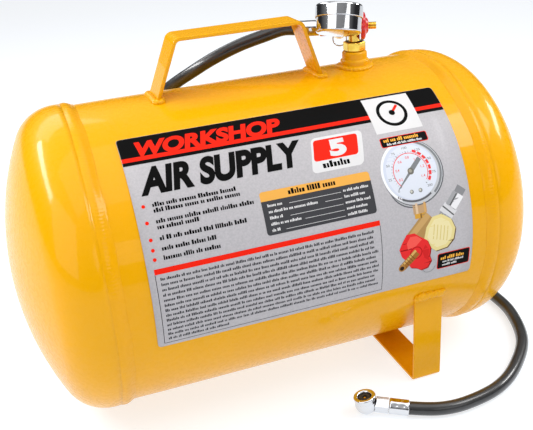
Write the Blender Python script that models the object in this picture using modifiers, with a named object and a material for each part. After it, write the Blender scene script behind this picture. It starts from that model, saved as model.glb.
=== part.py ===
"""Portable air receiver tank: welded steel tank, carry handle, leg, gauge manifold, hose and tyre chuck.

Metres, +Z up. The origin is on the floor under the middle of the tank, whose axis runs along X.
"""

import math

import bmesh
import bpy
from mathutils import Matrix, Vector

GAP = 0.0003
AXIS_Z = 0.128

# Pressure vessel.
SHELL_R = 0.125
SHELL_WALL = 0.002
SHELL_HALF = 0.1624
SIDES = 60
HEAD_R = 0.1271
HEAD_WALL = 0.0018
HEAD_START = 0.1573
HEAD_FLANGE = 0.0048
KNUCKLE_R = 0.0378
CROWN_R = 0.238

# Strap parts.
LEG_X = (0.0874, 0.1134)
LEG_HALF_Y = 0.1163
LEG_THICK = 0.0026
LEG_TOP_Z = AXIS_Z - 0.048
HANDLE_WIDTH = 0.028
HANDLE_THICK = 0.003
HANDLE_TOP = AXIS_Z + 0.1724
HANDLE_FEET_X = (-0.0879, 0.0570)
HANDLE_BENDS_X = (-0.0672, 0.0403)
HANDLE_FOOT_Z = AXIS_Z + 0.122

# Label.
LABEL_X = (-0.1288, 0.1338)
LABEL_ANGLES = (-0.2118, 1.1152)
LABEL_THICK = 0.0003

# Bung, and the manifold frame: a is along the valve line, t points to the rear, z is up.
BUNG_X = 0.0916
BUNG_BORE = 0.007
LINE_Z = AXIS_Z + 0.1590
TURN = math.radians(-25.0)
PORT_S = -0.0125
TIP = math.radians(20.6)
LINE = Vector((math.cos(TURN), math.sin(TURN), 0.0))
REAR = Vector((-math.sin(TURN), math.cos(TURN), 0.0))
UP = Vector((0.0, 0.0, 1.0))
GAUGE_DIR = -math.cos(TIP) * REAR + math.sin(TIP) * UP
PLUG_DIR = math.sin(TIP) * REAR + math.cos(TIP) * UP
HUB = Vector((BUNG_X, 0.0, LINE_Z))
PORT = HUB + PORT_S * LINE
BODY_R = 0.0075
SPINDLE_R = 0.003
KNOB_R = 0.0119

# Gauge.
GAUGE_REACH = 0.0335
GAUGE_NORMAL = Vector((0.201, 0.294, 0.935)).normalized()
GAUGE_PORT = PORT - 0.004 * PLUG_DIR
GAUGE_CENTRE = GAUGE_PORT + GAUGE_REACH * GAUGE_DIR + 0.0046 * GAUGE_NORMAL
CASE_R = 0.0184
CASE_WALL = 0.001
BEZEL_R = 0.0194
CASE_BACK = -0.0113
BEZEL_FRONT = 0.0113

# Hose line.
HOSE_R = 0.0055
FERRULE_R = 0.0067
CHUCK_ENTRY = Vector((0.0615, -0.1539, 0.0069))
CHUCK_LINE = Vector((-0.8712, 0.4830, 0.0872)).normalized()
BALL_AT = 0.0349
BALL_R = 0.0093
BALL = CHUCK_ENTRY + BALL_AT * CHUCK_LINE
MOUTH_LEAN = math.radians(15.0)
HOSE_ROUTE = (
    (0.0370, 0.0266, 0.2868),
    (0.0221, 0.0318, 0.2825),
    (0.0007, 0.0372, 0.2762),
    (-0.0208, 0.0440, 0.2668),
    (-0.0385, 0.0545, 0.2552),
    (-0.0560, 0.0720, 0.2400),
    (-0.0730, 0.0980, 0.2180),
    (-0.0870, 0.1250, 0.1830),
    (-0.0980, 0.1490, 0.1360),
    (-0.1010, 0.1700, 0.0850),
    (-0.0930, 0.1950, 0.0370),
    (-0.0680, 0.2250, 0.0105),
    (-0.0200, 0.2520, 0.0060),
    (0.0400, 0.2620, 0.0058),
    (0.1060, 0.2490, 0.0058),
    (0.1670, 0.2090, 0.0058),
    (0.2060, 0.1440, 0.0058),
    (0.2200, 0.0700, 0.0058),
    (0.2240, 0.0100, 0.0058),
    (0.2256, -0.0321, 0.0058),
    (0.2215, -0.0672, 0.0058),
    (0.2032, -0.1092, 0.0058),
    (0.1719, -0.1415, 0.0058),
    (0.1428, -0.1592, 0.0058),
    (0.1100, -0.1660, 0.0058),
    (0.0850, -0.1640, 0.0060),
)
HOSE_POINTS = 70

for old in list(bpy.data.objects):
    bpy.data.objects.remove(old, do_unlink=True)
scene = bpy.context.scene
parts = bpy.data.collections.new("air_receiver_tank")
cutters = bpy.data.collections.new("cutters")
scene.collection.children.link(parts)
scene.collection.children.link(cutters)


def material(name, colour, roughness, metallic):
    """A plain Principled material."""
    made = bpy.data.materials.new(name)
    made.use_nodes = True
    shader = made.node_tree.nodes["Principled BSDF"]
    shader.inputs["Base Color"].default_value = (*colour, 1.0)
    shader.inputs["Roughness"].default_value = roughness
    shader.inputs["Metallic"].default_value = metallic
    made.diffuse_color = (*colour, 1.0)
    return made


YELLOW = material("yellow_paint", (0.90, 0.52, 0.01), 0.25, 0.0)
WELD_YELLOW = material("weld_paint", (0.85, 0.47, 0.01), 0.3, 0.0)
VINYL = material("label_vinyl", (0.45, 0.44, 0.46), 0.4, 0.0)
BRASS = material("brass", (0.78, 0.57, 0.20), 0.3, 1.0)
CHROME = material("chrome", (0.80, 0.80, 0.82), 0.1, 1.0)
STEEL = material("spring_steel", (0.55, 0.55, 0.57), 0.35, 1.0)
BRONZE = material("bronze", (0.62, 0.40, 0.22), 0.35, 1.0)
RED = material("red_plastic", (0.60, 0.01, 0.02), 0.35, 0.0)
WHITE = material("dial_white", (0.85, 0.85, 0.83), 0.5, 0.0)
BLACK = material("pointer_black", (0.02, 0.02, 0.02), 0.4, 0.0)
RUBBER = material("rubber", (0.02, 0.02, 0.02), 0.7, 0.0)
CLEAR = material("clear_lens", (0.90, 0.93, 0.95), 0.05, 0.0)


def add_object(name, mesh, look, smooth=True):
    """Links a mesh as a part, or as a cutter when it has no look."""
    made = bpy.data.objects.new(name, mesh)
    if look is None:
        cutters.objects.link(made)
        made.hide_render = True
        made.display_type = "WIRE"
        return made
    parts.objects.link(made)
    mesh.materials.append(look)
    for face in mesh.polygons:
        face.use_smooth = smooth
    return made


def aim(made, at, direction, side=None):
    """Puts the origin at a point with local Z along a direction and local X near a side direction."""
    z_axis = direction.normalized()
    hint = side if side is not None else (Vector((1, 0, 0)) if abs(z_axis.x) < 0.9 else Vector((0, 0, 1)))
    x_axis = (hint - hint.dot(z_axis) * z_axis).normalized()
    y_axis = z_axis.cross(x_axis)
    turn = Matrix((x_axis, y_axis, z_axis)).transposed().to_4x4()
    made.matrix_world = Matrix.Translation(at) @ turn
    return made


def lathe(name, profile, look, closed=True, steps=32, sweep=2 * math.pi):
    """Turns a profile of (radius, height) points about Z, running down the outer side."""
    mesh = bpy.data.meshes.new(name)
    points = [(radius, 0.0, height) for radius, height in profile]
    count = len(points)
    edges = [(i, i + 1) for i in range(count - 1)]
    if closed:
        edges.append((count - 1, 0))
    mesh.from_pydata(points, edges, [])
    made = add_object(name, mesh, look)
    turn = made.modifiers.new("turn", "SCREW")
    turn.angle = sweep
    turn.steps = steps
    turn.render_steps = steps
    turn.use_merge_vertices = True
    turn.merge_threshold = 0.00001
    turn.use_smooth_shade = True
    return made


def prism(name, radius, low, high, look, sides=6, turn=0.0, flare=None):
    """A closed prism or cylinder about Z between two heights."""
    mesh = bpy.data.meshes.new(name)
    bm = bmesh.new()
    bmesh.ops.create_cone(
        bm,
        cap_ends=True,
        segments=sides,
        radius1=radius,
        radius2=radius if flare is None else flare,
        depth=high - low,
        matrix=Matrix.Translation((0, 0, (low + high) / 2)) @ Matrix.Rotation(turn, 4, "Z"),
    )
    bm.to_mesh(mesh)
    bm.free()
    return add_object(name, mesh, look, smooth=sides > 12)


def block(name, low, high, look):
    """A closed box between two corners."""
    mesh = bpy.data.meshes.new(name)
    bm = bmesh.new()
    size = [b - a for a, b in zip(low, high)]
    middle = [(a + b) / 2 for a, b in zip(low, high)]
    bmesh.ops.create_cube(bm, size=1.0, matrix=Matrix.Translation(middle) @ Matrix.Diagonal((*size, 1.0)))
    bm.to_mesh(mesh)
    bm.free()
    return add_object(name, mesh, look, smooth=False)


def ball(name, radius, look, segments=24, rings=16):
    """A closed sphere about its origin."""
    mesh = bpy.data.meshes.new(name)
    bm = bmesh.new()
    bmesh.ops.create_uvsphere(bm, u_segments=segments, v_segments=rings, radius=radius)
    bm.to_mesh(mesh)
    bm.free()
    return add_object(name, mesh, look)


def extrude(name, outline, direction, look):
    """A flat outline of 3-D points pushed along a direction, with both ends closed."""
    mesh = bpy.data.meshes.new(name)
    bm = bmesh.new()
    face = bm.faces.new([bm.verts.new(point) for point in outline])
    moved = bmesh.ops.extrude_face_region(bm, geom=[face])
    verts = [item for item in moved["geom"] if isinstance(item, bmesh.types.BMVert)]
    bmesh.ops.translate(bm, verts=verts, vec=direction)
    bmesh.ops.recalc_face_normals(bm, faces=bm.faces)
    bm.to_mesh(mesh)
    bm.free()
    return add_object(name, mesh, look, smooth=False)


def combine(made, tool, operation="DIFFERENCE"):
    """Adds an exact Boolean of one object with another."""
    step = made.modifiers.new(tool.name, "BOOLEAN")
    step.operation = operation
    step.solver = "EXACT"
    step.object = tool
    return made


def rounded(corners, radii, steps=4):
    """A 2-D path through corners, each inner corner rounded to its radius."""
    path = [Vector(corners[0])]
    for before, corner, after, radius in zip(corners, corners[1:], corners[2:], radii):
        corner = Vector(corner)
        inward = (Vector(before) - corner).normalized()
        outward = (Vector(after) - corner).normalized()
        half = inward.angle(outward) / 2
        middle = corner + (inward + outward).normalized() * radius / math.sin(half)
        start = corner + inward * radius / math.tan(half) - middle
        end = corner + outward * radius / math.tan(half) - middle
        swing = start.angle_signed(end)
        for i in range(steps + 1):
            path.append(middle + Matrix.Rotation(-swing * i / steps, 2) @ start)
    path.append(Vector(corners[-1]))
    return path


def ring_tube(name, major, minor, look, steps=24, sides=6):
    """A closed round ring about Z."""
    profile = []
    for i in range(sides):
        angle = math.pi / 2 - 2 * math.pi * i / sides
        profile.append((major + minor * math.cos(angle), minor * math.sin(angle)))
    return lathe(name, profile, look, steps=steps)


def wire(name, points, radius, look, resolution=2):
    """A round rod along a list of points with its ends closed."""
    curve = bpy.data.curves.new(name, "CURVE")
    curve.dimensions = "3D"
    curve.bevel_depth = radius
    curve.bevel_resolution = resolution
    curve.use_fill_caps = True
    spline = curve.splines.new("POLY")
    spline.points.add(len(points) - 1)
    for item, point in zip(spline.points, points):
        item.co = (*point, 1.0)
    made = bpy.data.objects.new(name, curve)
    parts.objects.link(made)
    curve.materials.append(look)
    return made


def spring_points(radius, low, high, turns, per_turn=10):
    """Points of a coil about Z."""
    count = int(turns * per_turn)
    made = []
    for i in range(count + 1):
        angle = 2 * math.pi * turns * i / count
        made.append((radius * math.cos(angle), radius * math.sin(angle), low + (high - low) * i / count))
    return made


def smooth_route(points, count):
    """Evenly spaced points on a Catmull-Rom curve through the given points."""
    fine = []
    padded = [2 * points[0] - points[1], *points, 2 * points[-1] - points[-2]]
    for p0, p1, p2, p3 in zip(padded, padded[1:], padded[2:], padded[3:]):
        for i in range(40):
            t = i / 40
            bend = 2 * p0 - 5 * p1 + 4 * p2 - p3
            twist = 3 * p1 - p0 - 3 * p2 + p3
            fine.append(0.5 * (2 * p1 + (p2 - p0) * t + bend * t * t + twist * t * t * t))
    fine.append(points[-1])
    lengths = [0.0]
    for a, b in zip(fine, fine[1:]):
        lengths.append(lengths[-1] + (b - a).length)
    made = []
    at = 0
    for i in range(count):
        want = lengths[-1] * i / (count - 1)
        while at < len(fine) - 2 and lengths[at + 1] < want:
            at += 1
        share = (want - lengths[at]) / (lengths[at + 1] - lengths[at])
        made.append(fine[at].lerp(fine[at + 1], share))
    return made


# Shell: rolled tube with a hole under the bung.
CENTRE = Vector((0, 0, AXIS_Z))
ALONG = Vector((1, 0, 0))
inner_r = SHELL_R - SHELL_WALL
shell = lathe(
    "tank_shell",
    [(SHELL_R, SHELL_HALF), (SHELL_R, -SHELL_HALF), (inner_r, -SHELL_HALF), (inner_r, SHELL_HALF)],
    YELLOW,
    steps=SIDES,
)
aim(shell, CENTRE, ALONG)
hole = prism("shell_hole", BUNG_BORE, AXIS_Z + 0.11, AXIS_Z + 0.14, None, sides=24)
hole.location = (BUNG_X, 0, 0)
combine(shell, hole)

# Cylinder that fits every welded-on piece to the round of the shell.
saddle = prism("shell_saddle", SHELL_R + GAP, -0.15, 0.15, None, sides=180)
aim(saddle, CENTRE, ALONG)


def head_profile():
    """Dished head: skirt, knuckle arc and crown arc outside, then the same inside."""
    reach = math.sqrt((CROWN_R - KNUCKLE_R) ** 2 - (HEAD_R - KNUCKLE_R) ** 2)
    knuckle_x = HEAD_START + HEAD_FLANGE
    crown_x = knuckle_x - reach
    crown_angle = math.atan2(HEAD_R - KNUCKLE_R, reach)
    sides = []
    for wall, crown_steps, knuckle_steps in ((0.0, 6, 6), (HEAD_WALL, 4, 4)):
        side = []
        for i in range(crown_steps + 1):
            angle = crown_angle * i / crown_steps
            radius = CROWN_R - wall
            side.append((radius * math.sin(angle), crown_x + radius * math.cos(angle)))
        for i in range(1, knuckle_steps + 1):
            angle = crown_angle + (math.pi / 2 - crown_angle) * i / knuckle_steps
            radius = KNUCKLE_R - wall
            side.append((HEAD_R - KNUCKLE_R + radius * math.sin(angle), knuckle_x + radius * math.cos(angle)))
        side.append((HEAD_R - wall, HEAD_START))
        sides.append(side)
    return sides[0] + sides[1][::-1]


# Heads: dished steel lapped over the ends of the shell.
for name, direction in (("left_head", -ALONG), ("right_head", ALONG)):
    aim(lathe(name, head_profile(), YELLOW, closed=False, steps=SIDES), CENTRE, direction)

# Seam welds: one fillet bead round the edge of each head.
seam = [
    (SHELL_R + GAP, 0.1570),
    (0.1269, 0.1570),
    (0.1277, 0.1560),
    (0.1279, 0.1540),
    (0.1273, 0.1510),
    (0.1262, 0.1486),
    (SHELL_R + GAP, 0.1478),
]
for name, direction in (("left_seam_weld", -ALONG), ("right_seam_weld", ALONG)):
    aim(lathe(name, seam, WELD_YELLOW, steps=SIDES), CENTRE, direction)

# Leg: flat strap bent to a U, its plate under the belly and both ends welded to the flanks.
outer = rounded(
    [(-LEG_HALF_Y, LEG_TOP_Z), (-LEG_HALF_Y, 0), (LEG_HALF_Y, 0), (LEG_HALF_Y, LEG_TOP_Z)],
    [0.004, 0.004],
)
inner_y = LEG_HALF_Y - LEG_THICK
inner = rounded(
    [(-inner_y, LEG_TOP_Z), (-inner_y, LEG_THICK), (inner_y, LEG_THICK), (inner_y, LEG_TOP_Z)],
    [0.0014, 0.0014],
)
leg_outline = [(LEG_X[0], y, z) for y, z in outer + inner[::-1]]
leg = extrude("support_leg", leg_outline, (LEG_X[1] - LEG_X[0], 0, 0), YELLOW)
combine(leg, saddle)

# Leg welds: a bead on each flank along the top edge of the strap.
bead = ((0.0, 18.0), (0.0013, 18.4), (0.0027, 19.6), (0.0031, 20.9), (0.0023, 21.8), (0.0, 22.1))
for name, side in (("leg_front_weld", -1), ("leg_rear_weld", 1)):
    outline = []
    for height, degrees in bead:
        radius = SHELL_R + GAP + height
        angle = math.radians(degrees)
        outline.append((LEG_X[0] - 0.001, side * radius * math.cos(angle), AXIS_Z - radius * math.sin(angle)))
    extrude(name, outline, (LEG_X[1] - LEG_X[0] + 0.002, 0, 0), WELD_YELLOW)

# Handle: flat strap bent to a trapezoid.
outer = rounded(
    [
        (HANDLE_FEET_X[0], HANDLE_FOOT_Z),
        (HANDLE_BENDS_X[0], HANDLE_TOP),
        (HANDLE_BENDS_X[1], HANDLE_TOP),
        (HANDLE_FEET_X[1], HANDLE_FOOT_Z),
    ],
    [0.007, 0.007],
)
left_lean = math.atan2(HANDLE_BENDS_X[0] - HANDLE_FEET_X[0], HANDLE_TOP - HANDLE_FOOT_Z)
right_lean = math.atan2(HANDLE_FEET_X[1] - HANDLE_BENDS_X[1], HANDLE_TOP - HANDLE_FOOT_Z)
step_left = HANDLE_THICK / math.cos(left_lean)
step_right = HANDLE_THICK / math.cos(right_lean)
shift_left = step_left - HANDLE_THICK * math.tan(left_lean)
shift_right = step_right - HANDLE_THICK * math.tan(right_lean)
inner = rounded(
    [
        (HANDLE_FEET_X[0] + step_left, HANDLE_FOOT_Z),
        (HANDLE_BENDS_X[0] + shift_left, HANDLE_TOP - HANDLE_THICK),
        (HANDLE_BENDS_X[1] - shift_right, HANDLE_TOP - HANDLE_THICK),
        (HANDLE_FEET_X[1] - step_right, HANDLE_FOOT_Z),
    ],
    [0.004, 0.004],
)
half_width = HANDLE_WIDTH / 2
handle_outline = [(x, -half_width, z) for x, z in outer + inner[::-1]]
handle = extrude("carry_handle", handle_outline, (0, HANDLE_WIDTH, 0), YELLOW)
combine(handle, saddle)

# Handle welds: a fillet all round each foot.
for name, foot_x, lean, step in (
    ("handle_left_weld", HANDLE_FEET_X[0], left_lean, step_left),
    ("handle_right_weld", HANDLE_FEET_X[1], -right_lean, -step_right),
):
    middle_x = foot_x + step / 2 + 0.0045 * math.tan(lean)
    collar = prism(name, 1.0, AXIS_Z + 0.1215, AXIS_Z + 0.1285, WELD_YELLOW, sides=4, turn=math.pi / 4, flare=0.6)
    for vert in collar.data.vertices:
        top = vert.co.z > AXIS_Z + 0.125
        vert.co.x = math.copysign(0.0031 if top else 0.0072, vert.co.x)
        vert.co.y = math.copysign(0.0152 if top else 0.0192, vert.co.y)
    collar.location = (middle_x, 0, 0)
    run = 0.02 * math.tan(lean)
    left_x, right_x = sorted((foot_x, foot_x + step))
    left_x -= 0.0004
    right_x += 0.0004
    slot_outline = [
        (left_x - run, -half_width - GAP, HANDLE_FOOT_Z - 0.02),
        (right_x - run, -half_width - GAP, HANDLE_FOOT_Z - 0.02),
        (right_x + run, -half_width - GAP, HANDLE_FOOT_Z + 0.02),
        (left_x + run, -half_width - GAP, HANDLE_FOOT_Z + 0.02),
    ]
    slot = extrude(f"{name}_slot", slot_outline, (0, HANDLE_WIDTH + 2 * GAP, 0), None)
    combine(collar, saddle)
    combine(collar, slot)

# Label: vinyl sheet wrapped on the front of the shell.
label_outline = []
for radius, order in ((SHELL_R + GAP, 1), (SHELL_R + GAP + LABEL_THICK, -1)):
    arc = []
    for i in range(29):
        angle = LABEL_ANGLES[0] + (LABEL_ANGLES[1] - LABEL_ANGLES[0]) * i / 28
        arc.append((LABEL_X[0], -radius * math.cos(angle), AXIS_Z + radius * math.sin(angle)))
    label_outline += arc[::order]
extrude("tank_label", label_outline, (LABEL_X[1] - LABEL_X[0], 0, 0), VINYL)

# Bung: threaded boss welded over the hole in the shell.
bung = lathe(
    "tank_bung",
    [
        (0.0095, 0.1385),
        (0.0106, 0.1374),
        (0.0106, 0.1318),
        (0.0122, 0.1308),
        (0.0122, 0.1230),
        (BUNG_BORE, 0.1230),
        (BUNG_BORE, 0.1385),
    ],
    YELLOW,
)
bung.location = (BUNG_X, 0, AXIS_Z)
combine(bung, saddle)

# Bung weld: fillet round the foot of the bung.
collar = lathe(
    "bung_weld",
    [(0.0129, 0.1278), (0.0143, 0.1268), (0.0152, 0.1252), (0.0152, 0.1230), (0.0125, 0.1230), (0.0125, 0.1278)],
    WELD_YELLOW,
)
collar.location = (BUNG_X, 0, AXIS_Z)
combine(collar, saddle)

# Nipple: brass hexagon with a spigot into the bung and one into the manifold.
nipple = prism("tank_nipple", 0.0095, 0.1388, 0.1464, BRASS)
for tag, radius, low, high in (("low", BUNG_BORE - GAP, 0.1262, 0.1390), ("high", 0.0036, 0.1462, 0.1520)):
    combine(nipple, prism(f"nipple_{tag}", radius, low, high, None, sides=24), "UNION")
combine(nipple, prism("nipple_bore", 0.0024, 0.12, 0.16, None, sides=16))
for made in [nipple] + [item for item in cutters.objects if item.name.startswith("nipple_")]:
    made.location = (BUNG_X, 0, AXIS_Z)

# Manifold body: brass barrel on the valve line with four side ports.
body = aim(prism("manifold_body", BODY_R, -0.0215, 0.0045, BRASS, sides=28), HUB, LINE)
neck = prism("body_neck", 0.0048, 0.1467, 0.1595, None, sides=20)
neck.location = (BUNG_X, 0, AXIS_Z)
combine(body, neck, "UNION")
side_ports = (("gauge", GAUGE_PORT, GAUGE_DIR), ("safety", PORT, -GAUGE_DIR), ("plug", PORT, PLUG_DIR))
for tag, at, direction in side_ports:
    boss = aim(prism(f"body_{tag}", 0.0062, 0.0, 0.0095, None, sides=20), at, direction)
    combine(body, boss, "UNION")
combine(body, aim(prism("body_bore", 0.0034, -0.03, 0.02, None, sides=16), HUB, LINE))
gland_hole = aim(prism("body_gland_hole", 0.0045, 0.0, 0.02, None, sides=20), HUB, LINE)
combine(body, gland_hole)
neck_hole = prism("body_neck_hole", 0.0039, 0.14, 0.1600, None, sides=20)
neck_hole.location = (BUNG_X, 0, AXIS_Z)
combine(body, neck_hole)
for tag, at, direction in side_ports:
    hole = aim(prism(f"body_{tag}_hole", 0.0041, 0.0025, 0.02, None, sides=20), at, direction)
    combine(body, hole)

# Plug: brass hexagon closing the top port.
plug = aim(prism("manifold_plug", 0.0070, 0.0098, 0.0135, BRASS), PORT, PLUG_DIR)
combine(plug, aim(prism("plug_spigot", 0.0038, 0.0050, 0.0100, None, sides=20), PORT, PLUG_DIR), "UNION")

# Gland nut of the shut-off valve.
gland = lathe(
    "valve_gland",
    [(0.0062, 0.0064), (0.0062, 0.0048), (0.0042, 0.0048), (0.0042, 0.0005), (0.0033, 0.0005), (0.0033, 0.0064)],
    BRASS,
    steps=24,
)
aim(gland, HUB, LINE)

# Valve spindle: hollow brass rod whose outer end is the inlet nozzle.
spindle = lathe(
    "valve_spindle",
    [
        (0.0027, 0.0188),
        (0.0031, 0.0184),
        (0.0031, 0.0128),
        (SPINDLE_R, 0.0128),
        (SPINDLE_R, -0.0045),
        (0.0012, -0.0075),
        (0.0006, -0.0075),
        (0.0006, 0.0110),
        (0.0017, 0.0110),
        (0.0017, 0.0188),
    ],
    BRASS,
    steps=24,
)
aim(spindle, HUB, LINE)

# Valve knob: dished red knob pressed on the spindle.
knob = lathe(
    "valve_knob",
    [
        (0.0044, 0.0122),
        (0.0056, 0.0116),
        (0.0072, 0.0102),
        (0.0100, 0.0094),
        (0.0115, 0.0086),
        (KNOB_R, 0.0074),
        (0.0114, 0.0060),
        (0.0104, 0.0057),
        (0.0070, 0.0057),
        (0.0070, 0.0073),
        (SPINDLE_R + GAP, 0.0073),
        (SPINDLE_R + GAP, 0.0122),
    ],
    RED,
    steps=28,
)
aim(knob, HUB, LINE)

# Core pin of the inlet.
core_pin = lathe(
    "inlet_core_pin",
    [(0.0, 0.0180), (0.0006, 0.0180), (0.0006, 0.0140), (0.0013, 0.0140), (0.0013, 0.0132), (0.0, 0.0132)],
    BRASS,
    closed=False,
    steps=16,
)
aim(core_pin, HUB, LINE)

# Safety valve: hexagon body screwed in the rear port, drilled for the spring.
safety = aim(prism("safety_valve_body", 0.0069, 0.0098, 0.0150, BRASS), PORT, -GAUGE_DIR)
for tag, radius, low, high in (("spigot", 0.0038, 0.0055, 0.0100), ("bonnet", 0.0050, 0.0148, 0.0240)):
    made = prism(f"safety_{tag}", radius, low, high, None, sides=20)
    combine(safety, aim(made, PORT, -GAUGE_DIR), "UNION")
drillings = (("seat", 0.0015, 0.0040, 0.0110), ("cell", 0.0035, 0.0108, 0.0225), ("top", 0.0013, 0.02, 0.03))
for tag, radius, low, high in drillings:
    made = prism(f"safety_{tag}", radius, low, high, None, sides=20)
    combine(safety, aim(made, PORT, -GAUGE_DIR))

# Safety valve stem: poppet, rod and a flat eye for the ring.
stem = lathe(
    "safety_valve_stem",
    [(0.0, 0.0280), (0.0009, 0.0280), (0.0009, 0.0126), (0.0030, 0.0126), (0.0030, 0.0112), (0.0, 0.0112)],
    BRASS,
    closed=False,
    steps=16,
)
aim(stem, PORT, -GAUGE_DIR)
EYE = PORT - 0.0290 * GAUGE_DIR
eye = aim(prism("stem_eye", 0.0024, -0.0008, 0.0008, None, sides=20), EYE, LINE)
combine(stem, eye, "UNION")
combine(stem, aim(prism("stem_eye_hole", 0.0012, -0.002, 0.002, None, sides=16), EYE, LINE))

# Safety valve spring between the poppet and the bonnet.
coil = wire("safety_valve_spring", spring_points(0.0023, 0.0133, 0.0219, 5.5), 0.0004, STEEL, 0)
aim(coil, PORT, -GAUGE_DIR)

# Pull ring threaded through the eye, hanging down.
RING_MAJOR = 0.0060
ring = ring_tube("safety_valve_ring", RING_MAJOR, 0.0006, STEEL)
aim(ring, EYE - RING_MAJOR * UP, REAR, side=LINE)

# Gauge stem: brass hexagon between the manifold and the case, with a socket inside the case.
gauge_stem = aim(prism("gauge_stem", 0.0050, 0.0098, 0.0142, BRASS), GAUGE_PORT, GAUGE_DIR)
for tag, radius, low, high in (("thread", 0.0038, 0.0050, 0.0100), ("socket", 0.0038, 0.0140, 0.0235)):
    made = prism(f"stem_{tag}", radius, low, high, None, sides=20)
    combine(gauge_stem, aim(made, GAUGE_PORT, GAUGE_DIR), "UNION")
combine(gauge_stem, aim(prism("stem_bore", 0.0012, 0.0, 0.0215, None, sides=16), GAUGE_PORT, GAUGE_DIR))

# Gauge case: chromed cup with a hole for the stem.
case_inner = CASE_R - CASE_WALL
case = lathe(
    "gauge_case",
    [
        (0.0, CASE_BACK + CASE_WALL),
        (case_inner, CASE_BACK + CASE_WALL),
        (case_inner, 0.0080),
        (CASE_R, 0.0080),
        (CASE_R, CASE_BACK + 0.0010),
        (CASE_R - 0.0010, CASE_BACK),
        (0.0, CASE_BACK),
    ],
    CHROME,
    closed=False,
    steps=32,
)
aim(case, GAUGE_CENTRE, GAUGE_NORMAL, side=GAUGE_DIR)
combine(case, aim(prism("case_hole", 0.0042, 0.012, 0.020, None, sides=20), GAUGE_PORT, GAUGE_DIR))

# Bezel: chromed ring that holds the lens on the case.
bezel = lathe(
    "gauge_bezel",
    [
        (0.0166, BEZEL_FRONT),
        (BEZEL_R - 0.0010, BEZEL_FRONT),
        (BEZEL_R, BEZEL_FRONT - 0.0012),
        (BEZEL_R, 0.0008),
        (CASE_R + GAP, 0.0008),
        (CASE_R + GAP, 0.0101),
        (0.0166, 0.0101),
    ],
    CHROME,
    steps=32,
)
aim(bezel, GAUGE_CENTRE, GAUGE_NORMAL)

# Lens, dial and movement.
aim(prism("gauge_lens", 0.0180, 0.0083, 0.0098, CLEAR, sides=40), GAUGE_CENTRE, GAUGE_NORMAL)
dial = lathe(
    "gauge_dial",
    [(0.0171, 0.0032), (0.0171, 0.0024), (0.0012, 0.0024), (0.0012, 0.0032)],
    WHITE,
    steps=32,
)
aim(dial, GAUGE_CENTRE, GAUGE_NORMAL)
movement = block("gauge_movement", (-0.0050, -0.0045, -0.0052), (0.0050, 0.0045, -0.0018), BRASS)
aim(movement, GAUGE_CENTRE, GAUGE_NORMAL, side=GAUGE_DIR)
combine(movement, aim(prism("movement_bore", 0.0011, -0.006, 0.0, None, sides=16), GAUGE_CENTRE, GAUGE_NORMAL))

# Bourdon tube: bronze tube bent round the movement, ending beside the socket.
arc = []
for i in range(25):
    angle = math.radians(205 + 230 * i / 24)
    arc.append((0.0125 * math.cos(angle), 0.0125 * math.sin(angle), -0.0035))
tube = wire("gauge_bourdon_tube", arc, 0.0012, BRONZE, 1)
aim(tube, GAUGE_CENTRE, GAUGE_NORMAL, side=GAUGE_DIR)

# Pointer: needle with hub and arbor, resting at zero at the lower left.
REST = math.radians(135)
needle_outline = [
    (0.0130, 0.0, 0.0046),
    (0.0020, 0.0009, 0.0046),
    (-0.0045, 0.0011, 0.0046),
    (-0.0045, -0.0011, 0.0046),
    (0.0020, -0.0009, 0.0046),
]
pointer = extrude("gauge_pointer", needle_outline, (0, 0, 0.0005), BLACK)
hub = aim(prism("pointer_hub", 0.0018, 0.0044, 0.0056, None, sides=20), GAUGE_CENTRE, GAUGE_NORMAL)
arbor = aim(prism("pointer_arbor", 0.0008, -0.0045, 0.0046, None, sides=16), GAUGE_CENTRE, GAUGE_NORMAL)
dial_right = GAUGE_DIR.cross(GAUGE_NORMAL).normalized()
dial_up = GAUGE_NORMAL.cross(dial_right)
needle_way = math.sin(REST) * -dial_right + math.cos(REST) * dial_up
aim(pointer, GAUGE_CENTRE, GAUGE_NORMAL, side=needle_way)
combine(pointer, hub, "UNION")
combine(pointer, arbor, "UNION")

# Hose nut and the two crimped ferrules.
nut = aim(prism("hose_nut", 0.0075, -0.0290, -0.0218, BRASS), HUB, LINE)
combine(nut, aim(prism("nut_spigot", 0.0031, -0.0220, -0.0170, None, sides=20), HUB, LINE), "UNION")
combine(nut, aim(prism("nut_bore", 0.0018, -0.03, -0.01, None, sides=16), HUB, LINE))
ferrule = [
    (FERRULE_R - 0.0004, 0.0186),
    (FERRULE_R, 0.0182),
    (FERRULE_R, 0.0006),
    (FERRULE_R - 0.0006, 0.0),
    (0.0018, 0.0),
    (0.0018, 0.0016),
    (HOSE_R + GAP, 0.0016),
    (HOSE_R + GAP, 0.0186),
]
aim(lathe("hose_tank_ferrule", ferrule, CHROME, steps=22), HUB - 0.0293 * LINE, -LINE)
low_ferrule = [(radius, height - 0.0024 if height > 0.01 else height) for radius, height in ferrule]
aim(lathe("hose_chuck_ferrule", low_ferrule, CHROME, steps=22), CHUCK_ENTRY + 0.0162 * CHUCK_LINE, -CHUCK_LINE)

# Air hose: arches over behind the handle, drops behind the tank, runs round its right end to the front.
hose_start = HUB - 0.0320 * LINE
hose_out = HUB - 0.0480 * LINE
hose_in = CHUCK_ENTRY + 0.0005 * CHUCK_LINE
hose_end = CHUCK_ENTRY + 0.0140 * CHUCK_LINE
route = [hose_start, hose_out] + [Vector(point) for point in HOSE_ROUTE] + [hose_in, hose_end]
wire("air_hose", smooth_route(route, HOSE_POINTS), HOSE_R, RUBBER, 2)

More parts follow.
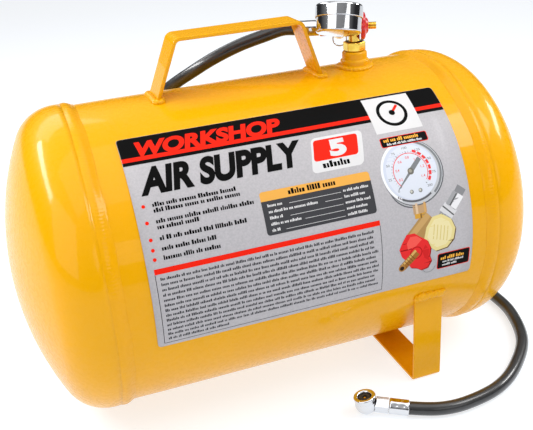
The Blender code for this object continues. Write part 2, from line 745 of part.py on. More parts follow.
# Chuck neck: chromed hexagon shaped to the ball.
neck = aim(prism("chuck_neck", 0.0066, 0.0165, 0.0300, CHROME), CHUCK_ENTRY, CHUCK_LINE)
ball_fit = ball("neck_ball_fit", BALL_R + GAP, None, 40, 24)
ball_fit.location = BALL
combine(neck, ball_fit)
side_way = CHUCK_LINE.cross(UP).normalized()
mouth_up = side_way.cross(CHUCK_LINE).normalized()
MOUTH = (math.cos(MOUTH_LEAN) * mouth_up + math.sin(MOUTH_LEAN) * CHUCK_LINE).normalized()
combine(neck, aim(prism("neck_rim_fit", BALL_R + 2 * GAP, 0.0, 0.02, None, sides=40), BALL, MOUTH))
combine(neck, aim(prism("neck_bore", 0.0018, 0.0, 0.04, None, sides=16), CHUCK_ENTRY, CHUCK_LINE))

# Chuck: chromed ball with a rimmed mouth, its cavity holding seal, pin and spring.
ball_profile = [(0.0, -BALL_R)]
for i in range(1, 10):
    angle = math.radians(-90 + 110 * i / 9)
    ball_profile.append((BALL_R * math.cos(angle), BALL_R * math.sin(angle)))
ball_profile += [(0.0093, 0.0052), (0.0093, 0.0070), (0.0085, 0.0078), (0.0066, 0.0078), (0.0056, 0.0068)]
ball_profile += [(0.0056, 0.0024), (0.0040, 0.0024), (0.0040, -0.0050), (0.0, -0.0050)]
chuck = lathe("chuck_body", ball_profile[::-1], CHROME, closed=False, steps=26)
aim(chuck, BALL, MOUTH)
combine(chuck, aim(prism("chuck_side_bore", 0.0018, -0.02, 0.0, None, sides=16), BALL, CHUCK_LINE))
seal = lathe(
    "chuck_seal",
    [(0.0044, 0.0064), (0.0053, 0.0058), (0.0053, 0.0027), (0.0020, 0.0027), (0.0020, 0.0064)],
    RUBBER,
    steps=24,
)
aim(seal, BALL, MOUTH)
pin = lathe(
    "chuck_pin",
    [(0.0, 0.0060), (0.0010, 0.0056), (0.0010, 0.0012), (0.0031, 0.0012), (0.0031, 0.0), (0.0, 0.0)],
    BRASS,
    closed=False,
    steps=16,
)
aim(pin, BALL, MOUTH)
coil = wire("chuck_spring", spring_points(0.0026, -0.0043, -0.0007, 3.5), 0.0004, STEEL, 0)
aim(coil, BALL, MOUTH)
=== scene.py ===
"""Looks of a portable air tank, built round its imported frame, in the order the tank is put together.

Metres, +Z up. The tank's axis runs along X, its label faces -Y and it stands on z = 0.
"""

import math

import bmesh
import bpy
import numpy as np
from mathutils import Matrix, Vector


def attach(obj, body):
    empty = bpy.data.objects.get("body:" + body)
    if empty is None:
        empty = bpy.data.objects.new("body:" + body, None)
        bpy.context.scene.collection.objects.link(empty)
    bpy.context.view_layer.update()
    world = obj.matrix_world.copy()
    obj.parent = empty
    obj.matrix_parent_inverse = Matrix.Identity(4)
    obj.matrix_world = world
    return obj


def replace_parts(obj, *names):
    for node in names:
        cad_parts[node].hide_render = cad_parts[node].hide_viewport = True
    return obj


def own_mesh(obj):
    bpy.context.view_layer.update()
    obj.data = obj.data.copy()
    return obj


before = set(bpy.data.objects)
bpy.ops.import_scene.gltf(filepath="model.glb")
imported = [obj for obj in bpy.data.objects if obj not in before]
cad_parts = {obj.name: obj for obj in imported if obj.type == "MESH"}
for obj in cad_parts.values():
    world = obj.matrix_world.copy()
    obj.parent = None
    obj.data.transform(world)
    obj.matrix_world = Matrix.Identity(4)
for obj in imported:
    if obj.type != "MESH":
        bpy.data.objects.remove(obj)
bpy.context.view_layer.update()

# Camera and room. A product table seen from the front left, a little above the tank,
# on a seamless pale floor, with soft boxes overhead, at the front left and at the front right.
CAMERA_AT = Vector((-0.2021, -0.6167, 0.4262))
CAMERA_RIGHT = Vector((0.9376, -0.3407, -0.0635))
CAMERA_FORWARD = Vector((0.28596, 0.86386, -0.41469))
camera = bpy.data.objects.new("camera", bpy.data.cameras.new("camera"))
camera.data.sensor_width = 36.0
camera.data.lens = 53.78
camera.data.clip_start = 0.01
camera_up = CAMERA_RIGHT.cross(CAMERA_FORWARD).normalized()
camera_back = -CAMERA_FORWARD.normalized()
camera_side = camera_up.cross(camera_back).normalized()
facing = Matrix((camera_side, camera_up, camera_back)).transposed().to_4x4()
camera.matrix_world = Matrix.Translation(CAMERA_AT) @ facing
bpy.context.scene.collection.objects.link(camera)
bpy.context.scene.camera = camera
bpy.context.scene.view_settings.view_transform = "Standard"


def finish_of(name, colour, roughness, metallic=0.0, **sockets):
    """A Principled material with its uniform values set on the shader's own sockets."""
    made = bpy.data.materials.new(name)
    made.use_nodes = True
    shader = made.node_tree.nodes["Principled BSDF"]
    shader.inputs["Base Color"].default_value = (*colour, 1.0)
    shader.inputs["Roughness"].default_value = roughness
    shader.inputs["Metallic"].default_value = metallic
    for socket, value in sockets.items():
        shader.inputs[socket.replace("_", " ")].default_value = value
    made.diffuse_color = (*colour, 1.0)
    return made


FLOOR_HALF = 9.0
FLOOR_Z = -0.0002
floor_mesh = bpy.data.meshes.new("floor")
floor_signs = ((-1, -1), (1, -1), (1, 1), (-1, 1))
floor_corners = [(sx * FLOOR_HALF, sy * FLOOR_HALF, FLOOR_Z) for sx, sy in floor_signs]
floor_mesh.from_pydata(floor_corners, [], [(0, 1, 2, 3)])
lit_floor = finish_of("pale_floor", (0.36, 0.40, 0.45), 0.8, Specular_IOR_Level=0.1)
lit_floor.node_tree.nodes["Principled BSDF"].inputs["Emission Color"].default_value = (1.0, 1.0, 1.0, 1.0)
lit_floor.node_tree.nodes["Principled BSDF"].inputs["Emission Strength"].default_value = 0.70
floor_mesh.materials.append(lit_floor)
floor = bpy.data.objects.new("floor", floor_mesh)
bpy.context.scene.collection.objects.link(floor)

# Soft boxes: name, compass angle from +X and height angle in degrees, distance, width and height, watts.
SOFT_BOXES = (
    ("overhead", -70.0, 80.0, 1.45, 1.7, 1.2, 7.6),
    ("left_strip", 160.0, 37.5, 1.20, 0.90, 0.16, 8.5),
    ("left_panel", -150.0, 25.0, 1.50, 1.15, 1.05, 6.0),
    ("front_panel", -75.0, 21.0, 1.60, 1.10, 0.44, 2.2),
    ("right_window", -35.0, 46.0, 1.30, 0.55, 0.36, 4.6),
    ("right_strip", -4.0, 25.0, 1.20, 0.48, 0.15, 4.2),
    ("rear_panel", 110.0, 40.0, 1.60, 0.90, 0.60, 4.0),
)
LIT_POINT = Vector((0.0, 0.0, 0.15))
for name, compass, lift, distance, wide, tall, power in SOFT_BOXES:
    lamp = bpy.data.lights.new(name, "AREA")
    lamp.shape = "RECTANGLE"
    lamp.size = wide
    lamp.size_y = tall
    lamp.energy = power
    turn_z, turn_up = math.radians(compass), math.radians(lift)
    level = math.cos(turn_up)
    away = Vector((level * math.cos(turn_z), level * math.sin(turn_z), math.sin(turn_up)))
    box = bpy.data.objects.new(name, lamp)
    box.location = LIT_POINT + distance * away
    box.rotation_euler = away.to_track_quat("Z", "Y").to_euler()
    bpy.context.scene.collection.objects.link(box)

world = bpy.data.worlds.new("room")
bpy.context.scene.world = world
world.use_nodes = True
sky = world.node_tree
height = sky.nodes.new("ShaderNodeSeparateXYZ")
ramp = sky.nodes.new("ShaderNodeValToRGB")
place = sky.nodes.new("ShaderNodeTexCoord")
ramp.color_ramp.elements[0].position = 0.15
ramp.color_ramp.elements[0].color = (0.035, 0.035, 0.038, 1)
ramp.color_ramp.elements[1].position = 0.85
ramp.color_ramp.elements[1].color = (0.80, 0.80, 0.81, 1)
sky.links.new(place.outputs["Generated"], height.inputs[0])
sky.links.new(height.outputs["Z"], ramp.inputs[0])
sky.links.new(ramp.outputs[0], sky.nodes["Background"].inputs["Color"])
sky.nodes["Background"].inputs["Strength"].default_value = 0.75

# Air hose. Black rubber with a smooth satin cover, 11 mm thick, crimped at both ends: it arches over
# behind the handle, drops behind the tank and comes round the right end to lie on the floor in front.
AXIS_Z = 0.128
LINE = np.array((0.906308, -0.422618, 0.0))
HUB = np.array((0.0916, 0.0, 0.287))
CHUCK_ENTRY = np.array((0.0615, -0.1539, 0.0069))
CHUCK_LINE = np.array((-0.871251, 0.483028, 0.087205))
HOSE_R = 0.0055
HOSE_ROUTE = (
    (0.0370, 0.0266, 0.2868),
    (0.0221, 0.0318, 0.2825),
    (0.0007, 0.0372, 0.2762),
    (-0.0208, 0.0440, 0.2668),
    (-0.0385, 0.0545, 0.2552),
    (-0.0560, 0.0720, 0.2400),
    (-0.0730, 0.0980, 0.2180),
    (-0.0870, 0.1250, 0.1830),
    (-0.0980, 0.1490, 0.1360),
    (-0.1010, 0.1700, 0.0850),
    (-0.0930, 0.1950, 0.0370),
    (-0.0680, 0.2250, 0.0105),
    (-0.0200, 0.2520, 0.0060),
    (0.0400, 0.2620, 0.0058),
    (0.1060, 0.2490, 0.0058),
    (0.1670, 0.2090, 0.0058),
    (0.2060, 0.1440, 0.0058),
    (0.2200, 0.0700, 0.0058),
    (0.2240, 0.0100, 0.0058),
    (0.2256, -0.0321, 0.0058),
    (0.2215, -0.0672, 0.0058),
    (0.2032, -0.1092, 0.0058),
    (0.1719, -0.1415, 0.0058),
    (0.1428, -0.1592, 0.0058),
    (0.1100, -0.1660, 0.0058),
    (0.0850, -0.1640, 0.0060),
)


def even_route(points, count):
    """Catmull-Rom curve through the points, read off at equal steps of its own length."""
    padded = np.vstack([2 * points[0] - points[1], points, 2 * points[-1] - points[-2]])
    t = (np.arange(40) / 40)[None, :, None]
    p0, p1, p2, p3 = (padded[k : len(padded) - 3 + k, None, :] for k in range(4))
    bend = 2 * p0 - 5 * p1 + 4 * p2 - p3
    twist = 3 * p1 - p0 - 3 * p2 + p3
    fine = (0.5 * (2 * p1 + (p2 - p0) * t + bend * t**2 + twist * t**3)).reshape(-1, 3)
    fine = np.vstack([fine, points[-1]])
    run = np.r_[0, np.cumsum(np.linalg.norm(np.diff(fine, axis=0), axis=1))]
    want = np.linspace(0, run[-1], count)
    return np.stack([np.interp(want, run, fine[:, k]) for k in range(3)], 1), run[-1]


def unit(vectors):
    """Each vector divided by its own length."""
    return vectors / np.linalg.norm(vectors, axis=-1, keepdims=True)


def surface(name, grid, look, body="tank", loop_rows=False, loop_columns=True, toward=None, run=None):
    """A mesh of a grid of points (rows, columns, 3), one four-sided face for each cell of the grid.
    Faces point out of the closed shape, or toward a direction. The UV map holds the column's share
    of a turn and the row's distance, in metres, or the given run."""
    rows, columns = grid.shape[:2]
    cell_rows, cell_columns = rows - (not loop_rows), columns - (not loop_columns)
    i, j = np.meshgrid(np.arange(cell_rows), np.arange(cell_columns), indexing="ij")
    row = np.stack([i, i, i + 1, i + 1], -1).reshape(-1, 4)
    column = np.stack([j, j + 1, j + 1, j], -1).reshape(-1, 4)
    quads = (row % rows) * columns + column % columns
    points = grid.reshape(-1, 3)
    a, b, c, d = (points[quads[:, k]] for k in range(4))
    normals = np.cross(c - a, d - b)
    if toward is None:
        side = np.einsum("ij,ij->", (a + b + c + d) / 4 - points.mean(0), normals)
    else:
        side = (normals @ np.array(toward)).sum()
    if side < 0:
        quads, row, column = quads[:, ::-1], row[:, ::-1], column[:, ::-1]
    if run is None:
        steps = np.linalg.norm(np.diff(grid[:, 0], axis=0), axis=1)
        run = np.r_[0, np.cumsum(steps), steps.sum() + 0.001]
    else:
        run = np.r_[run, run[-1]]
    mesh = bpy.data.meshes.new(name)
    mesh.vertices.add(len(points))
    mesh.vertices.foreach_set("co", points.astype(np.float32).ravel())
    mesh.loops.add(quads.size)
    mesh.loops.foreach_set("vertex_index", quads.astype(np.int32).ravel())
    mesh.polygons.add(len(quads))
    mesh.polygons.foreach_set("loop_start", np.arange(0, quads.size, 4, dtype=np.int32))
    mesh.update(calc_edges=True)
    uv = np.stack([column / columns, run[row]], -1)
    mesh.uv_layers.new(name="UVMap").data.foreach_set("uv", uv.astype(np.float32).ravel())
    work = bmesh.new()
    work.from_mesh(mesh)
    bmesh.ops.remove_doubles(work, verts=work.verts, dist=1e-7)
    bmesh.ops.dissolve_degenerate(work, edges=work.edges, dist=1e-8)
    work.to_mesh(mesh)
    work.free()
    mesh.polygons.foreach_set("use_smooth", np.ones(len(mesh.polygons), bool))
    mesh.materials.append(look)
    made = bpy.data.objects.new(name, mesh)
    bpy.context.scene.collection.objects.link(made)
    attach(made, body)
    return made


def tube(path, radius, sides):
    """Rings of points round a path, turned along it without twist, closed to a point at each end.
    The radius is one number or one for each point of the path."""
    ahead = unit(np.gradient(path, axis=0))
    side = np.empty_like(path)
    side[0] = unit(np.cross(ahead[0], (0.3, 0.2, 1.0)))
    for k in range(1, len(path)):
        side[k] = unit(side[k - 1] - (side[k - 1] @ ahead[k]) * ahead[k])
    across = np.cross(ahead, side)
    turn = 2 * np.pi * np.arange(sides) / sides
    ring = np.cos(turn)[None, :, None] * side[:, None] + np.sin(turn)[None, :, None] * across[:, None]
    rings = path[:, None] + np.broadcast_to(radius, len(path))[:, None, None] * ring
    ends = [np.repeat(path[k][None, None], sides, 1) for k in (0, -1)]
    return np.concatenate([ends[0], rings, ends[1]])


def grain_group():
    """Shared node group: a noise on Object coordinates gives a mask, a roughness and a bumped normal."""
    group = bpy.data.node_groups.new("fine_grain", "ShaderNodeTree")
    for name, kind, default in (
        ("Scale", "NodeSocketFloat", 300.0),
        ("Detail", "NodeSocketFloat", 3.0),
        ("Smooth", "NodeSocketFloat", 0.2),
        ("Rough", "NodeSocketFloat", 0.3),
        ("Bump", "NodeSocketFloat", 0.1),
        ("Depth", "NodeSocketFloat", 0.0002),
    ):
        group.interface.new_socket(name, in_out="INPUT", socket_type=kind).default_value = default
    for name, kind in (("Mask", "Float"), ("Roughness", "Float"), ("Normal", "Vector")):
        group.interface.new_socket(name, in_out="OUTPUT", socket_type=f"NodeSocket{kind}")
    enter, leave = group.nodes.new("NodeGroupInput"), group.nodes.new("NodeGroupOutput")
    where, noise = group.nodes.new("ShaderNodeTexCoord"), group.nodes.new("ShaderNodeTexNoise")
    spread, bump = group.nodes.new("ShaderNodeMapRange"), group.nodes.new("ShaderNodeBump")
    spread.inputs["From Min"].default_value = 0.3
    spread.inputs["From Max"].default_value = 0.7
    for start, end in (
        (where.outputs["Object"], noise.inputs["Vector"]),
        (enter.outputs["Scale"], noise.inputs["Scale"]),
        (enter.outputs["Detail"], noise.inputs["Detail"]),
        (noise.outputs["Fac"], spread.inputs["Value"]),
        (enter.outputs["Smooth"], spread.inputs["To Min"]),
        (enter.outputs["Rough"], spread.inputs["To Max"]),
        (noise.outputs["Fac"], bump.inputs["Height"]),
        (enter.outputs["Bump"], bump.inputs["Strength"]),
        (enter.outputs["Depth"], bump.inputs["Distance"]),
        (noise.outputs["Fac"], leave.inputs["Mask"]),
        (spread.outputs["Result"], leave.inputs["Roughness"]),
        (bump.outputs["Normal"], leave.inputs["Normal"]),
    ):
        group.links.new(start, end)
    return group


GRAIN = grain_group()


def add_grain(look, scale, detail, smooth, rough, bump, depth):
    """Puts the grain group in a material and feeds its roughness and normal. Gives the group node."""
    tree = look.node_tree
    grain = tree.nodes.new("ShaderNodeGroup")
    grain.node_tree = GRAIN
    values = (scale, detail, smooth, rough, bump, depth)
    for socket, value in zip(("Scale", "Detail", "Smooth", "Rough", "Bump", "Depth"), values):
        grain.inputs[socket].default_value = value
    shader = tree.nodes["Principled BSDF"]
    tree.links.new(grain.outputs["Roughness"], shader.inputs["Roughness"])
    tree.links.new(grain.outputs["Normal"], shader.inputs["Normal"])
    return grain


def shades_group():
    """Shared node group: a broad noise on Object coordinates mixes a dark and a light colour."""
    group = bpy.data.node_groups.new("two_shades", "ShaderNodeTree")
    for name in ("Dark", "Light"):
        group.interface.new_socket(name, in_out="INPUT", socket_type="NodeSocketColor")
    for name in ("Scale", "Low", "High"):
        group.interface.new_socket(name, in_out="INPUT", socket_type="NodeSocketFloat")
    group.interface.new_socket("Color", in_out="OUTPUT", socket_type="NodeSocketColor")
    enter, leave = group.nodes.new("NodeGroupInput"), group.nodes.new("NodeGroupOutput")
    where, noise = group.nodes.new("ShaderNodeTexCoord"), group.nodes.new("ShaderNodeTexNoise")
    noise.inputs["Detail"].default_value = 4.0
    share = group.nodes.new("ShaderNodeMapRange")
    blend = group.nodes.new("ShaderNodeMixRGB")
    for start, end in (
        (where.outputs["Object"], noise.inputs["Vector"]),
        (enter.outputs["Scale"], noise.inputs["Scale"]),
        (noise.outputs["Fac"], share.inputs["Value"]),
        (enter.outputs["Low"], share.inputs["From Min"]),
        (enter.outputs["High"], share.inputs["From Max"]),
        (share.outputs["Result"], blend.inputs["Fac"]),
        (enter.outputs["Dark"], blend.inputs["Color1"]),
        (enter.outputs["Light"], blend.inputs["Color2"]),
        (blend.outputs["Color"], leave.inputs["Color"]),
    ):
        group.links.new(start, end)
    return group


SHADES = shades_group()


def tint(look, dark, light, scale, low=0.35, high=0.65):
    """Feeds Base Color from two near colours, mixed by the shared noise between its low and high values."""
    tree = look.node_tree
    shades = tree.nodes.new("ShaderNodeGroup")
    shades.node_tree = SHADES
    values = ((*dark, 1), (*light, 1), scale, low, high)
    for socket, value in zip(("Dark", "Light", "Scale", "Low", "High"), values):
        shades.inputs[socket].default_value = value
    tree.links.new(shades.outputs["Color"], tree.nodes["Principled BSDF"].inputs["Base Color"])


hose_rubber = finish_of("hose_rubber", (0.012, 0.012, 0.012), 0.3, Coat_Weight=0.6, Coat_Roughness=0.12)
add_grain(hose_rubber, 900.0, 4.0, 0.30, 0.46, 0.25, 0.00015)
tint(hose_rubber, (0.008, 0.008, 0.008), (0.020, 0.020, 0.021), 60.0)
ends = (HUB - 0.0320 * LINE, HUB - 0.0480 * LINE)
tail = (CHUCK_ENTRY + 0.0005 * CHUCK_LINE, CHUCK_ENTRY + 0.0140 * CHUCK_LINE)
hose_path, hose_length = even_route(np.array([*ends, *HOSE_ROUTE, *tail]), 420)
hose = surface("air_hose_cover", tube(hose_path, HOSE_R, 28), hose_rubber)
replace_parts(hose, "air_hose")

# Shell. Rolled and seam-welded steel tube, powder-coated gloss yellow, drawn in a little by the heat
# of the two end seams, so that reflections waver beside them.
SHELL_R = 0.125
SHELL_WALL = 0.002
SHELL_HALF = 0.1624
ROUND_STEPS = 240


def turned(profile, steps, shape=None):
    """Profile of (radius, height) carried round Z. A shape function may scale the radius by angle."""
    profile = np.array(profile, float)
    turn = 2 * np.pi * np.arange(steps) / steps
    radius = np.repeat(profile[:, :1], steps, 1)
    if shape is not None:
        radius = shape(radius, turn[None], profile[:, 1:])
    rise = np.repeat(profile[:, 1:], steps, 1)
    return np.stack([radius * np.cos(turn), radius * np.sin(turn), rise], -1)


def put(grid, at, direction, side=(0.0, 0.0, 1.0)):
    """Moves points so that their Z runs along a direction from a point, and their X near a side."""
    z_axis = unit(np.array(direction, float))
    x_axis = np.array(side, float)
    if abs(x_axis @ z_axis) > 0.95:
        x_axis = np.array((1.0, 0.0, 0.0))
    x_axis = unit(x_axis - (x_axis @ z_axis) * z_axis)
    basis = np.stack([x_axis, np.cross(z_axis, x_axis), z_axis])
    return grid @ basis + np.array(at, float)


def softened(profile, radius, steps=4, closed=False):
    """The same profile with each corner replaced by a small parabola that starts a radius away."""
    profile = np.array(profile, float)
    made = [] if closed else [profile[0]]
    count = len(profile)
    for k in range(count if closed else count - 2):
        before, corner, after = profile[k], profile[(k + 1) % count], profile[(k + 2) % count]
        back, on = np.linalg.norm(before - corner), np.linalg.norm(after - corner)
        cut = min(radius, 0.45 * back, 0.45 * on)
        start, end = corner + (before - corner) * cut / back, corner + (after - corner) * cut / on
        t = np.linspace(0, 1, steps + 1)[:, None]
        made += list((1 - t) ** 2 * start + 2 * t * (1 - t) * corner + t**2 * end)
    return np.array(made if closed else [*made, profile[-1]])


def flat_faces(made):
    """Weighs the normals by face area, so that large faces stay flat beside small rounded edges."""
    weigh = made.modifiers.new("weighted", "WEIGHTED_NORMAL")
    weigh.keep_sharp = True
    return made


def gloss_paint(name, dark, light, bump):
    """Powder coat: soft orange peel under a clear gloss, with a slight drift in colour."""
    made = finish_of(name, light, 0.25, Coat_Weight=0.3, Coat_Roughness=0.02, Specular_IOR_Level=0.08)
    add_grain(made, 260.0, 2.0, 0.22, 0.34, bump, 0.0003)
    tint(made, dark, light, 9.0, 0.25, 0.75)
    return made


tank_paint = gloss_paint("tank_paint", (0.79, 0.368, 0.001), (0.83, 0.395, 0.001), 0.03)
x = np.r_[-SHELL_HALF, np.linspace(-0.15, 0.15, 61), SHELL_HALF]
turn = 2 * np.pi * np.arange(ROUND_STEPS) / ROUND_STEPS
near_seam = np.exp(-(((np.abs(x) - 0.146) / 0.016) ** 2))[:, None]
waver = np.sin(7 * turn + 1.0) + 0.7 * np.sin(17 * turn + 2.0) + 0.5 * np.sin(31 * turn)
radius = SHELL_R - near_seam * (0.00016 + 0.00007 * waver[None])
along = np.repeat(x[:, None], ROUND_STEPS, 1)
outer = np.stack([along, -radius * np.cos(turn), AXIS_Z + radius * np.sin(turn)], -1)
inner = outer[::-1].copy()
inner[..., 1] *= (SHELL_R - SHELL_WALL) / SHELL_R
inner[..., 2] = AXIS_Z + (inner[..., 2] - AXIS_Z) * (SHELL_R - SHELL_WALL) / SHELL_R
shell = surface("shell_plate", np.concatenate([outer, inner]), tank_paint, loop_rows=True)
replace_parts(shell, "tank_shell")

# Heads. Pressed steel ends, a shallow crown with a tight knuckle and a short skirt that laps over the
# shell, painted with the rest.
HEAD_R = 0.1271
HEAD_WALL = 0.0018
HEAD_START = 0.1573
KNUCKLE_R = 0.0378
CROWN_R = 0.238
knuckle_x = HEAD_START + 0.0048
centres_apart = math.sqrt((CROWN_R - KNUCKLE_R) ** 2 - (HEAD_R - KNUCKLE_R) ** 2)
meet = math.atan2(HEAD_R - KNUCKLE_R, centres_apart)


def head_side(wall):
    """Crown arc from the axis out to the knuckle, knuckle arc to the skirt, then the skirt's edge."""
    crown = np.linspace(0, meet, 22)
    knuckle = np.linspace(meet, np.pi / 2, 20)[1:]
    crown_r, knuckle_r = CROWN_R - wall, KNUCKLE_R - wall
    first = np.stack([crown_r * np.sin(crown), knuckle_x - centres_apart + crown_r * np.cos(crown)], 1)
    knuckle_side = HEAD_R - KNUCKLE_R + knuckle_r * np.sin(knuckle)
    second = np.stack([knuckle_side, knuckle_x + knuckle_r * np.cos(knuckle)], 1)
    return np.vstack([first, second, (HEAD_R - wall, HEAD_START)])


head_profile = np.vstack([head_side(0.0), head_side(HEAD_WALL)[::-1]])
for name, way in (("left_head", -1.0), ("right_head", 1.0)):
    grid = put(turned(head_profile, ROUND_STEPS), (0, 0, AXIS_Z), (way, 0, 0))
    head = surface(f"{name}_dish", grid, tank_paint)
    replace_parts(head, name)

# End seams. A fillet bead run all round the edge of each head, its ripples softened by the paint.
weld_paint = gloss_paint("weld_paint", (0.77, 0.352, 0.001), (0.83, 0.392, 0.001), 0.06)


def bead(path, normal, half_width, rise, pitch, phase=0.0, closed=False, sides=20):
    """A weld bead: an oval carried along a path, swollen and pinched by a wave of the given pitch
    whose crests bow forward in the middle, like the crescents that a moving torch leaves."""
    if closed:
        ahead = unit(np.roll(path, -1, 0) - np.roll(path, 1, 0))
        gaps = np.linalg.norm(np.roll(path, -1, 0) - path, axis=1)
        run = np.r_[0, np.cumsum(gaps)[:-1]]
        pitch = gaps.sum() / max(1, round(gaps.sum() / pitch))
    else:
        ahead = unit(np.gradient(path, axis=0))
        run = np.r_[0, np.cumsum(np.linalg.norm(np.diff(path, axis=0), axis=1))]
    across = unit(np.cross(ahead, normal))
    turn = 2 * np.pi * np.arange(sides) / sides
    crescent = np.cos(2 * np.pi * (run[:, None] / pitch + 0.35 * np.sin(turn)[None]) + phase)
    drift = np.sin(run * 2 * np.pi / (7.3 * pitch) + phase) * (0 if closed else 1)
    swell = 1 + 0.05 * crescent + 0.06 * drift[:, None]
    flat = across[:, None] * (half_width * np.cos(turn))[None, :, None]
    high = normal[:, None] * (rise * np.sin(turn))[None, :, None]
    rings = path[:, None] + (flat + high) * swell[..., None]
    if closed:
        return rings
    ends = [np.repeat(path[k][None, None], sides, 1) for k in (0, -1)]
    taper = np.minimum(1, np.minimum(run, run[-1] - run) / (1.5 * half_width) + 0.55)[:, None, None]
    rings = path[:, None] + (rings - path[:, None]) * taper
    return np.concatenate([ends[0], rings, ends[1]])


SEAM_STEPS = 960
turn = 2 * np.pi * np.arange(SEAM_STEPS) / SEAM_STEPS
across = np.linspace(0, 1, 25)
for name, way, phase in (("left_seam", -1.0, 0.4), ("right_seam", 1.0, 2.1)):
    wander = 0.00030 * np.sin(9 * turn + phase) + 0.00020 * np.sin(23 * turn + 2 * phase)
    from_middle = (0.1474 + 0.0116 * across)[:, None] + wander[None] * (1 - across)[:, None]
    slope = across**2 * (3 - 2 * across)
    crown = np.sin(np.pi * across) ** 1.3
    ripple = np.cos(298 * turn[None] + 2.6 * crown[:, None] + phase) + 0.6 * np.sin(41 * turn[None] + phase)
    top = 0.12496 + 0.00196 * slope[:, None] + crown[:, None] * (0.00125 + 0.00010 * ripple)
    under = np.full_like(top, 0.1243)
    rings = []
    for heights, radius in ((from_middle, top), (from_middle[::-1], under)):
        rings.append(np.stack([way * heights, -radius * np.cos(turn), AXIS_Z + radius * np.sin(turn)], -1))
    seam = surface(f"{name}_bead", np.concatenate(rings), weld_paint, loop_rows=True)
    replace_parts(seam, f"{name}_weld")

# Leg. One flat steel strap bent to a U: its plate passes under the belly, and both uprights are
# welded to the tank's flanks.
LEG_X = (0.0874, 0.1134)
LEG_HALF_Y = 0.1163
LEG_THICK = 0.0026
LEG_TOP_Z = 0.080
LEG_BEND_R = 0.0027
LEG_WELD_R = 0.1256
LEG_WELD_LEAN = math.radians(20.6)


def strap(path, normal, width_way, width, thick, corner=0.0007):
    """A flat bar: a rounded rectangle carried along a path, thick along the normal."""
    turn = np.linspace(0, np.pi / 2, 5)
    half_w, half_t = width / 2 - corner, thick / 2 - corner
    corners = []
    for start, sx, sy in ((0, 1, 1), (1, -1, 1), (2, -1, -1), (3, 1, -1)):
        angle = turn + start * np.pi / 2
        arc = corner * np.stack([np.cos(angle), np.sin(angle)], 1)
        corners.append((sx * half_w, sy * half_t) + arc)
    outline = np.vstack(corners)
    wide = outline[None, :, :1] * np.array(width_way, float)
    deep = outline[None, :, 1:] * normal[:, None]
    rings = path[:, None] + wide + deep
    ends = [np.repeat(path[k][None, None], len(outline), 1) for k in (0, -1)]
    return np.concatenate([ends[0], rings, ends[1]])


def bent(corners, radii, steps=10):
    """A path in a plane through corners, each inner corner an arc of its radius, with its normals."""
    corners = [np.array(c, float) for c in corners]
    points = [corners[0]]
    for before, corner, after, radius in zip(corners, corners[1:], corners[2:], radii):
        inward, outward = unit(before - corner), unit(after - corner)
        half = math.acos(float(inward @ outward)) / 2
        middle = corner + unit(inward + outward) * radius / math.sin(half)
        start = corner + inward * radius / math.tan(half) - middle
        end = corner + outward * radius / math.tan(half) - middle
        sweep = math.pi - 2 * half
        t = np.linspace(0, 1, steps + 1)[:, None]
        points += list(middle + (np.sin((1 - t) * sweep) * start + np.sin(t * sweep) * end) / math.sin(sweep))
    points.append(corners[-1])
    points = np.array(points)
    ahead = unit(np.gradient(points, axis=0))
    ahead[0] = unit(points[1] - points[0])
    ahead[-1] = unit(points[-1] - points[-2])
    return points, np.stack([ahead[:, 1], -ahead[:, 0]], 1)


mid_y = LEG_HALF_Y - LEG_THICK / 2
mid_z = LEG_THICK / 2
leg_corners = [(-mid_y, LEG_TOP_Z), (-mid_y, mid_z), (mid_y, mid_z), (mid_y, LEG_TOP_Z)]
points, normals = bent(leg_corners, [LEG_BEND_R, LEG_BEND_R])
leg_middle = np.full(len(points), sum(LEG_X) / 2)
path = np.stack([leg_middle, points[:, 0], points[:, 1]], 1)
normal = np.stack([0 * leg_middle, normals[:, 0], normals[:, 1]], 1)
leg = surface("leg_strap", strap(path, normal, (1, 0, 0), LEG_X[1] - LEG_X[0], LEG_THICK), tank_paint)
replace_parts(flat_faces(leg), "support_leg")
for name, side, phase in (("leg_front", -1.0, 0.0), ("leg_rear", 1.0, 1.3)):
    along = np.linspace(LEG_X[0] - 0.0012, LEG_X[1] + 0.0012, 90)
    weave = 0.0003 * np.sin(along * 900 + phase)
    outward = np.array((side * math.cos(LEG_WELD_LEAN), -math.sin(LEG_WELD_LEAN)))
    weld_y, weld_z = LEG_WELD_R * outward
    path = np.stack([along, weld_y + 0 * along, AXIS_Z + weld_z + weave], 1)
    normal = np.tile((0.0, *outward), (90, 1))
    weld = surface(f"{name}_bead", bead(path, unit(normal), 0.0043, 0.0026, 0.0034, phase), weld_paint)
    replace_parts(weld, f"{name}_weld")

# Handle. One flat steel strap bent to a trapezoid, each foot fillet-welded all round to the shell.
HANDLE_WIDTH = 0.028
HANDLE_THICK = 0.003
HANDLE_TOP = 0.3004
FEET_X = (-0.0879, 0.0570)
BENDS_X = (-0.0672, 0.0403)
FOOT_Z = 0.2500
half = HANDLE_THICK / 2
left_lean = math.atan2(BENDS_X[0] - FEET_X[0], HANDLE_TOP - FOOT_Z)
right_lean = math.atan2(FEET_X[1] - BENDS_X[1], HANDLE_TOP - FOOT_Z)
left_shift = half / math.cos(left_lean)
right_shift = half / math.cos(right_lean)
corners = [
    (FEET_X[0] + left_shift, FOOT_Z),
    (BENDS_X[0] + left_shift - half * math.tan(left_lean), HANDLE_TOP - half),
    (BENDS_X[1] - right_shift + half * math.tan(right_lean), HANDLE_TOP - half),
    (FEET_X[1] - right_shift, FOOT_Z),
]
points, normals = bent(corners, [0.0055, 0.0055])
nothing = np.zeros(len(points))
path = np.stack([points[:, 0], nothing, points[:, 1]], 1)
normal = np.stack([normals[:, 0], nothing, normals[:, 1]], 1)
